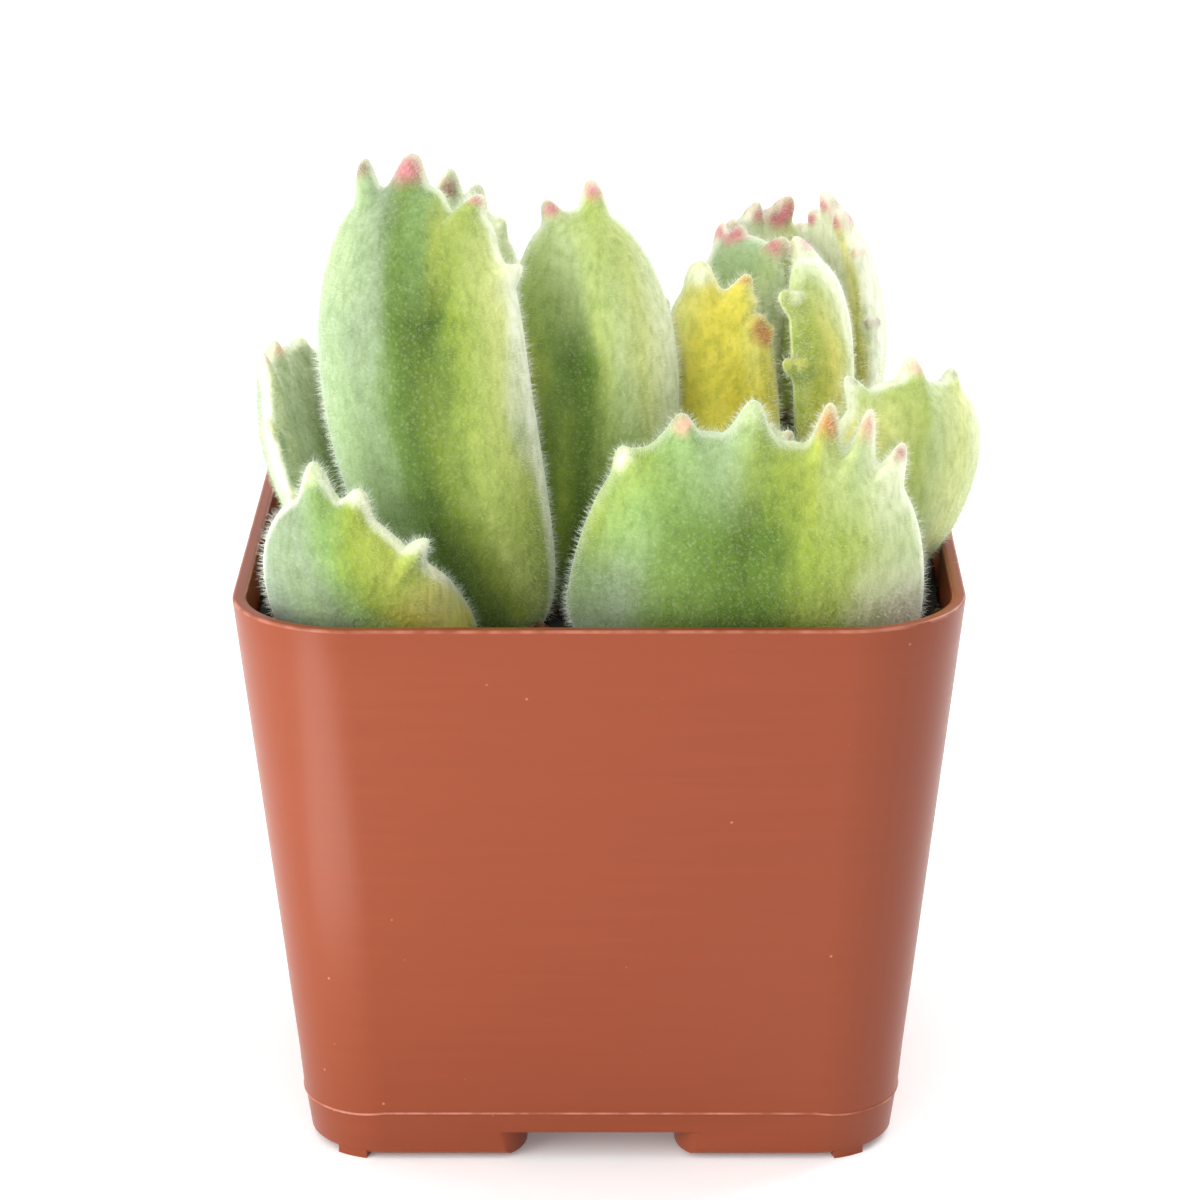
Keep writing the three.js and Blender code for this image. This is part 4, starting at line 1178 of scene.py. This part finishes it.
def drop_loose(thing):
    """Removes the points of the inner face's outermost ring, which no face uses."""
    used = np.zeros(len(thing.data.vertices), bool)
    corners = np.zeros(len(thing.data.loops), int)
    thing.data.loops.foreach_get("vertex_index", corners)
    used[corners] = True
    shape = bmesh.new()
    shape.from_mesh(thing.data)
    shape.verts.ensure_lookup_table()
    spare = [vertex for vertex, kept in zip(shape.verts, used) if not kept]
    bmesh.ops.delete(shape, geom=spare, context="VERTS")
    shape.to_mesh(thing.data)
    shape.free()


def succulent_skin(name, settings, glow):
    """Leaf flesh under a velvet of hairs: the colour is in the flesh, light soaks a little way in,
    the surface is pebbled at about half a millimetre, and the hairs give a pale sheen."""
    material, tree, shader = new_material(name)
    place = own_place(tree)
    flesh = add(tree, "ShaderNodeAttribute", attribute_name="flesh").outputs["Color"]
    upright = add(tree, "ShaderNodeMapping", {"Vector": place, "Scale": UPRIGHT}).outputs[0]
    streaks = ramp(tree, bumps(tree, upright, 0.55, 6), [
        (0.3, "#c3ccaa"), (0.5, "#eef2e4"), (0.65, "#ffffff"),
    ])
    streaked = blended(tree, 0.55, flesh, streaks, "MULTIPLY")
    blotches = ramp(tree, bumps(tree, place, 1.3, 8), [
        (0.38, "#d2dcbe"), (0.5, "#f7f8f0"), (0.62, "#ffffff"),
    ])
    mottled = blended(tree, 0.4, streaked, blotches, "MULTIPLY")
    dots = ramp(tree, cells(tree, place, 0.38), [(0.1, "#5a5a5a"), (0.45, "#000000")])
    painted(tree, shader, blended(tree, dots, mottled, with_alpha(settings.hair_root)))
    pebbles = add(tree, "ShaderNodeMath", {
        0: cells(tree, place, 0.55), 1: bumps(tree, place, 0.3, 3),
    }, operation="ADD").outputs[0]
    raised(tree, shader, pebbles, settings.pebble, 0.12)
    shader.inputs["Roughness"].default_value = 0.62
    shader.inputs["IOR"].default_value = 1.4
    shader.inputs["Specular IOR Level"].default_value = 0.3
    shader.inputs["Subsurface Weight"].default_value = 0.1
    shader.inputs["Subsurface Radius"].default_value = glow
    shader.inputs["Subsurface Scale"].default_value = 1.0
    shader.inputs["Sheen Weight"].default_value = settings.sheen
    shader.inputs["Sheen Roughness"].default_value = 0.45
    shader.inputs["Sheen Tint"].default_value = with_alpha("#f4faf4")
    return material


def white_hair(settings):
    """Plant hairs: thin, clear and air-filled, so that they are white with the leaf showing through,
    but for the longer ones on the margin, which are made whiter as a painted sheen for the edge's glow."""
    material, tree, shader = new_material("white_plant_hair")
    patches = bumps(tree, own_place(tree), 3, 2)
    tint = ramp(tree, patches, [(0.35, settings.hair_shade), (0.65, settings.hair_colour)])
    flesh = add(tree, "ShaderNodeAttribute", attribute_name="flesh").outputs["Color"]
    fringe = add(tree, "ShaderNodeAttribute", attribute_name="fringe").outputs["Fac"]
    # Hairs on the margin are less clear and so whiter, a painted sheen for the glow of the edge.
    clear = spread(tree, fringe, to_low=settings.hair_clearness, to_high=settings.hair_clearness / 5)
    painted(tree, shader, blended(tree, clear, tint, flesh))
    shader.inputs["Roughness"].default_value = 0.5
    return material


# Shares of the usual hair length, and how much longer the hairs of the fringe are.
HAIR_LENGTHS = (0.55, 1.45)
FRINGE_GROWTH = 0.7
LOWEST_LEAN = (-1, -1, -0.6)
HAIR_LEAN = 0.7
HAIR_SIDES = 3


def hair_tree():
    """Stands short tapered hairs on a leaf, each leaning its own way, most of them upwards."""
    tree, given, result = new_geometry_tree("velvet_hairs", {
        "Density": "NodeSocketFloat",
        "Length": "NodeSocketFloat",
        "Thickness": "NodeSocketFloat",
        "Unruliness": "NodeSocketFloat",
        "Seed": "NodeSocketInt",
        "Material": "NodeSocketMaterial",
    })
    points = add(tree, "GeometryNodeDistributePointsOnFaces", {
        "Mesh": given["Geometry"], "Density": given["Density"], "Seed": given["Seed"],
    })
    hair = add(tree, "GeometryNodeMeshCone", {
        "Vertices": HAIR_SIDES, "Radius Top": 0.0, "Radius Bottom": given["Thickness"],
        "Depth": given["Length"],
    }).outputs["Mesh"]
    wild = add(tree, "FunctionNodeRandomValue", {0: LOWEST_LEAN, 1: (1, 1, 1), "Seed": 11},
               data_type="FLOAT_VECTOR").outputs[0]
    bent = add(tree, "ShaderNodeVectorMath", {0: wild, "Scale": given["Unruliness"]},
               operation="SCALE").outputs[0]
    aim = add(tree, "ShaderNodeVectorMath", {0: points.outputs["Normal"], 1: bent}, operation="ADD")
    turn = add(tree, "FunctionNodeAlignRotationToVector", {"Vector": aim.outputs[0]}, axis="Z")
    shortest, longest = HAIR_LENGTHS
    size = add(tree, "FunctionNodeRandomValue", {2: shortest, 3: longest, "Seed": 12},
               data_type="FLOAT")
    fringe = add(tree, "GeometryNodeInputNamedAttribute", {"Name": "fringe"}, data_type="FLOAT")
    longer = add(tree, "ShaderNodeMath", {0: fringe.outputs["Attribute"], 1: FRINGE_GROWTH, 2: 1.0},
                 operation="MULTIPLY_ADD")
    tall = add(tree, "ShaderNodeMath", {0: size.outputs[1], 1: longer.outputs[0]}, operation="MULTIPLY")
    scale = add(tree, "ShaderNodeCombineXYZ", {"X": 1.0, "Y": 1.0, "Z": tall.outputs[0]})
    standing = add(tree, "GeometryNodeInstanceOnPoints", {
        "Points": points.outputs["Points"], "Instance": hair,
        "Rotation": turn.outputs[0], "Scale": scale.outputs[0],
    }).outputs[0]
    solid = add(tree, "GeometryNodeRealizeInstances", {"Geometry": standing}).outputs[0]
    tinted = add(tree, "GeometryNodeSetMaterial", {"Geometry": solid, "Material": given["Material"]})
    tree.links.new(tinted.outputs[0], result["Geometry"])
    return tree


# Skins by slot: the material's name, and how deep red, green and blue light soak in, in millimetres.
SKINS = {
    "leaf_green_striped": ("green_leaf_skin", (0.9, 1.3, 0.4)),
    "leaf_pale": ("pale_leaf_skin", (1.5, 1.7, 0.9)),
    "leaf_yellow_flesh": ("yellow_leaf_skin", (1.6, 1.3, 0.4)),
}


# The camera and the studio.

# The even light grows to the left, the front and the top by these amounts, from a dimmest level up.
LIGHT_SLOPE = (-0.46, -0.24, 0.32)
DIMMEST = 0.05
# A dark card takes light from this side, from its edge to its middle.
FLAG_SIDE = (0.93, -0.3, 0.0)
FLAG_EDGE = 0.55
FLAG_MIDDLE = 0.95
# Soft lights: where they hang and how wide they are, in millimetres.
LEFT_SOFTBOX = ((-520, -440, 190), 380)
RIM_SOFTBOX = ((420, 420, 420), 500)
FLOOR_STRIP = ((-84, -94, 1), 42)
STRIP_LENGTH = 130
STRIP_TURN = -40
AIM_HEIGHT = 0.04
CAMERA_PLACE = (3.281, -353.596, 154.728)
CAMERA_PITCH = 18.067
CAMERA_YAW = -0.5475
CAMERA_ROLL = 0.206
FOCAL_PIXELS = 4531.4


def aim_camera():
    data = bpy.data.cameras.new("camera")
    data.sensor_width = SENSOR
    data.lens = FOCAL_PIXELS / IMAGE_SIDE * SENSOR
    data.clip_start = 0.01
    data.clip_end = 20
    camera = bpy.data.objects.new("camera", data)
    bpy.context.scene.collection.objects.link(camera)
    pitch, yaw, roll = (math.radians(a) for a in (CAMERA_PITCH, CAMERA_YAW, CAMERA_ROLL))
    turn = Matrix.Rotation(-yaw, 4, "Z") @ Matrix.Rotation(math.pi / 2 - pitch, 4, "X")
    spot = Vector(CAMERA_PLACE) + Vector((POT_MIDDLE[0], POT_MIDDLE[1], 0))
    camera.matrix_world = Matrix.Translation(spot * MM) @ turn @ Matrix.Rotation(-roll, 4, "Z")
    bpy.context.scene.camera = camera


def lamp(name, spot_mm, width_mm, power):
    """A square soft white light that looks at the middle of the plant."""
    data = bpy.data.lights.new(name, "AREA")
    data.size = width_mm * MM
    data.energy = power
    thing = bpy.data.objects.new(name, data)
    bpy.context.scene.collection.objects.link(thing)
    spot = Vector(spot_mm) * MM
    aim = Vector((0, 0, AIM_HEIGHT)) - spot
    thing.matrix_world = Matrix.Translation(spot) @ aim.to_track_quat("-Z", "Y").to_matrix().to_4x4()
    return thing


def white_sweep(glow):
    """White photographic paper on a light table, lit until it is nearly blank."""
    material, tree, shader = new_material("white_paper_sweep")
    fibres = bumps(tree, own_place(tree), 2, 2)
    painted(tree, shader, ramp(tree, fibres, [(0.3, "#fbfbfb"), (0.7, "#fefefe")]))
    shader.inputs["Roughness"].default_value = 0.9
    shader.inputs["Specular IOR Level"].default_value = 0.1
    shader.inputs["Emission Color"].default_value = with_alpha("#ffffff")
    shader.inputs["Emission Strength"].default_value = glow
    return material


# What a user can change.

def hex_setting(name, meaning, default):
    return bpy.props.StringProperty(name=name, description=meaning + ", as sRGB hex", default=default)


def length_setting(name, meaning, default):
    return bpy.props.FloatProperty(name=name, description=meaning, default=default, unit="LENGTH")


def number_setting(name, meaning, default, most=1000):
    return bpy.props.FloatProperty(name=name, description=meaning, default=default, min=0, max=most)


class StudioSettings(bpy.types.PropertyGroup):
    daylight: number_setting("Daylight", "Strength of the even light all round", 0.93)
    key: number_setting("Softbox", "Power of the large light at the left", 2.7)
    rim: number_setting("Rim light", "Power of the soft box behind on the right", 3.5)
    strip: number_setting("Floor strip", "Power of the strip that the pot's left corner mirrors", 0.07)
    flag: number_setting("Flag", "How much a dark card on the right takes from the light", 0.55)
    table: number_setting("Light table", "Light that comes through the paper from below", 0.12)
    floor: length_setting("Floor", "Side of the paper that the pot stands on", 6.0)


class PotSettings(bpy.types.PropertyGroup):
    colour: hex_setting("Plastic", "Colour of the plastic", "#863f24")
    dust: hex_setting("Dust", "Colour of the fine flecks on it", "#c08468")
    # This colour paints the seam and also the painted highlight on the lip.
    flash: hex_setting("Flash", "Colour of the seam left by the mould, and of the worn lip", "#b87560")


class SoilSettings(bpy.types.PropertyGroup):
    deep: hex_setting("Deep", "Colour in the gaps", "#070605")
    middle: hex_setting("Middle", "Colour of moist peat", "#140f0a")
    crumb: hex_setting("Crumb", "Colour of drier crumbs", "#221811")
    fibre: hex_setting("Fibre", "Colour of bark fibres", "#4a301c")
    crumb_spacing: length_setting("Crumb spacing", "Least distance between crumbs", 0.95 * MM)


class StemSettings(bpy.types.PropertyGroup):
    crack: hex_setting("Crack", "Colour in the cracks", "#4a3a22")
    bark: hex_setting("Bark", "Colour of the brown skin", "#84703f")
    flesh: hex_setting("Flesh", "Colour of the green under it", "#8f9c52")


class LeafSettings(bpy.types.PropertyGroup):
    pebble: number_setting("Pebbling", "Strength of the skin's fine relief", 0.5, 1)
    sheen: number_setting("Sheen", "How pale the velvet looks edge on", 0.6, 1)
    hair_root: hex_setting("Root dots", "Colour of the dots that hairs stand on", "#dfe6b0")
    hair_length: length_setting("Hair length", "Usual length of a hair", 0.38 * MM)
    hair_thickness: length_setting("Hair thickness", "Radius of a hair at its root", 0.013 * MM)
    hair_clearness: number_setting("Hair clearness", "How much of the leaf shows through a hair", 0.72, 1)
    hair_density: number_setting("Hair density", "Hairs on a square millimetre", 19)
    hair_colour: hex_setting("Hair colour", "Colour of a hair", "#f7faf2")
    hair_shade: hex_setting("Hair shade", "Colour of duller hairs", "#e6efe4")


SETTINGS = {
    "paw_studio": StudioSettings,
    "paw_pot": PotSettings,
    "paw_soil": SoilSettings,
    "paw_stems": StemSettings,
    "paw_leaves": LeafSettings,
}


# One operator for each piece or group of like pieces, and one for the stage.

class PAW_OT_stage(bpy.types.Operator):
    """Lays the paper, hangs the lights and aims the camera"""

    bl_idname = "paw.stage"
    bl_label = "Stage"

    def execute(self, context):
        settings = context.scene.paw_studio
        aim_camera()
        world = bpy.data.worlds.new("studio")
        world.use_nodes = True
        tree = world.node_tree
        toward = add(tree, "ShaderNodeTexCoord").outputs["Generated"]
        slope = add(tree, "ShaderNodeVectorMath", {0: toward, 1: LIGHT_SLOPE}, operation="DOT_PRODUCT")
        level = add(tree, "ShaderNodeMath", {0: slope.outputs["Value"], 1: settings.daylight},
                    operation="ADD")
        aside = add(tree, "ShaderNodeVectorMath", {0: toward, 1: FLAG_SIDE}, operation="DOT_PRODUCT")
        shaded = spread(tree, aside.outputs["Value"], from_low=FLAG_EDGE, from_high=FLAG_MIDDLE,
                        to_low=0.0, to_high=-settings.flag)
        flagged = add(tree, "ShaderNodeMath", {0: level.outputs[0], 1: shaded}, operation="ADD")
        kept = add(tree, "ShaderNodeMath", {0: flagged.outputs[0], 1: DIMMEST}, operation="MAXIMUM")
        tree.links.new(kept.outputs[0], tree.nodes["Background"].inputs["Strength"])
        tree.nodes["Background"].inputs["Color"].default_value = with_alpha("#ffffff")
        context.scene.world = world
        context.scene.view_settings.view_transform = "Standard"
        side = settings.floor / MM / 2
        corners = [(-side, -side, 0), (side, -side, 0), (side, side, 0), (-side, side, 0)]
        sweep = mesh_object("paper_sweep", corners, [(0, 1, 2, 3)], [white_sweep(settings.table)])
        lamp("left_softbox", *LEFT_SOFTBOX, settings.key)
        lamp("rim_softbox", *RIM_SOFTBOX, settings.rim)
        strip = lamp("floor_strip", *FLOOR_STRIP, settings.strip)
        strip.data.shape = "RECTANGLE"
        strip.data.size_y = STRIP_LENGTH * MM
        strip.rotation_euler = (math.pi, 0, math.radians(STRIP_TURN))
        return {"FINISHED"}


class PAW_OT_pot(bpy.types.Operator):
    """Moulds the pot"""

    bl_idname = "paw.pot"
    bl_label = "Pot"

    def execute(self, context):
        shell = pot_shell()
        shell.data.materials.append(moulded_polypropylene(context.scene.paw_pot))
        carry(shell, "pot_plastic", "pot")
        return {"FINISHED"}


class PAW_OT_soil(bpy.types.Operator):
    """Fills the pot with soil and strews crumbs on it"""

    bl_idname = "paw.soil"
    bl_label = "Soil"

    def execute(self, context):
        settings = context.scene.paw_soil
        mix_material = potting_mix(settings)
        soil = mesh_object("potting_soil", *soil_body(), [mix_material])
        tree = scatter_tree()
        # Name, spacing, smallest and largest width in millimetres, flatness and material.
        kinds = (
            ("soil_crumbs", settings.crumb_spacing, 0.3, 1.1, 0.8, mix_material),
            ("bark_flakes", 3.1 * MM, 0.8, 1.9, 0.4,
             plain_grit("bark_flake", "#3a2415", "#7a5231", 0.85)),
            ("perlite_grains", 4.6 * MM, 0.35, 0.9, 0.9,
             plain_grit("perlite", "#b9b3a6", "#e8e4da", 0.8)),
        )
        strewn = []
        for seed, (name, spacing, smallest, largest, flatness, material) in enumerate(kinds):
            strewn.append(grown(soil, name, tree, {
                "Spacing": spacing, "Smallest": smallest * MM, "Largest": largest * MM,
                "Flatness": flatness, "Seed": seed, "Material": material,
            }))
        carry(soil, "potting_mix", "soil")
        for piece in strewn:
            carry(piece, "potting_mix")
        return {"FINISHED"}


class PAW_OT_stems(bpy.types.Operator):
    """Grows the three stems"""

    bl_idname = "paw.stems"
    bl_label = "Stems"

    def execute(self, context):
        bark = young_bark(context.scene.paw_stems)
        for name, stem in STEMS.items():
            shoot = mesh_object(name.replace("stem", "shoot"), *stem_body(stem), [bark])
            carry(shoot, "stem_bark", name)
        return {"FINISHED"}


class PAW_OT_leaves(bpy.types.Operator):
    """Grows the leaves, with their teeth and stripes"""

    bl_idname = "paw.leaves"
    bl_label = "Leaves"

    def execute(self, context):
        settings = context.scene.paw_leaves
        skins = {}
        for slot, (name, soak) in SKINS.items():
            skins[slot] = succulent_skin(name, settings, [depth * MM for depth in soak])
        for seed, (name, spec) in enumerate(LEAVES.items()):
            leaf = dict(spec, length=curve_length(spec))
            blade = leaf_body(name.replace("leaf", "blade"), leaf, 10 * seed)
            blade.data.materials.append(skins[leaf_slot(leaf)])
            carry(blade, leaf_slot(leaf), name)
        return {"FINISHED"}


class PAW_OT_hairs(bpy.types.Operator):
    """Covers the leaves with short white hairs"""

    bl_idname = "paw.hairs"
    bl_label = "Hairs"

    def execute(self, context):
        settings = context.scene.paw_leaves
        tree = hair_tree()
        hair = white_hair(settings)
        for seed, (name, leaf) in enumerate(LEAVES.items()):
            blade = bpy.data.objects[name.replace("leaf", "blade")]
            velvet = grown(blade, name.replace("leaf", "velvet"), tree, {
                "Density": settings.hair_density / MM**2,
                "Length": settings.hair_length,
                "Thickness": settings.hair_thickness,
                "Unruliness": HAIR_LEAN,
                "Seed": seed,
                "Material": hair,
            })
            velvet.parent = None
            carry(velvet, leaf_slot(leaf))
        return {"FINISHED"}


STEPS = (PAW_OT_stage, PAW_OT_pot, PAW_OT_soil, PAW_OT_stems, PAW_OT_leaves, PAW_OT_hairs)


class PAW_PT_panel(bpy.types.Panel):
    """Lists the settings and the steps"""

    bl_idname = "PAW_PT_panel"
    bl_label = "Bear's Paw"
    bl_space_type = "VIEW_3D"
    bl_region_type = "UI"
    bl_category = "Bear's Paw"

    def draw(self, context):
        for key, kind in SETTINGS.items():
            group = getattr(context.scene, key)
            box = self.layout.box()
            for name in kind.__annotations__:
                box.prop(group, name)
        for step in STEPS:
            self.layout.operator(step.bl_idname)


def register():
    for key, kind in SETTINGS.items():
        bpy.utils.register_class(kind)
        setattr(bpy.types.Scene, key, bpy.props.PointerProperty(type=kind))
    for kind in (*STEPS, PAW_PT_panel):
        bpy.utils.register_class(kind)


def unregister():
    for kind in (PAW_PT_panel, *STEPS[::-1]):
        bpy.utils.unregister_class(kind)
    for key, kind in SETTINGS.items():
        delattr(bpy.types.Scene, key)
        bpy.utils.unregister_class(kind)


def main():
    register()
    for step in STEPS:
        group, action = step.bl_idname.split(".")
        getattr(getattr(bpy.ops, group), action)()


if __name__ == "__main__":
    main()
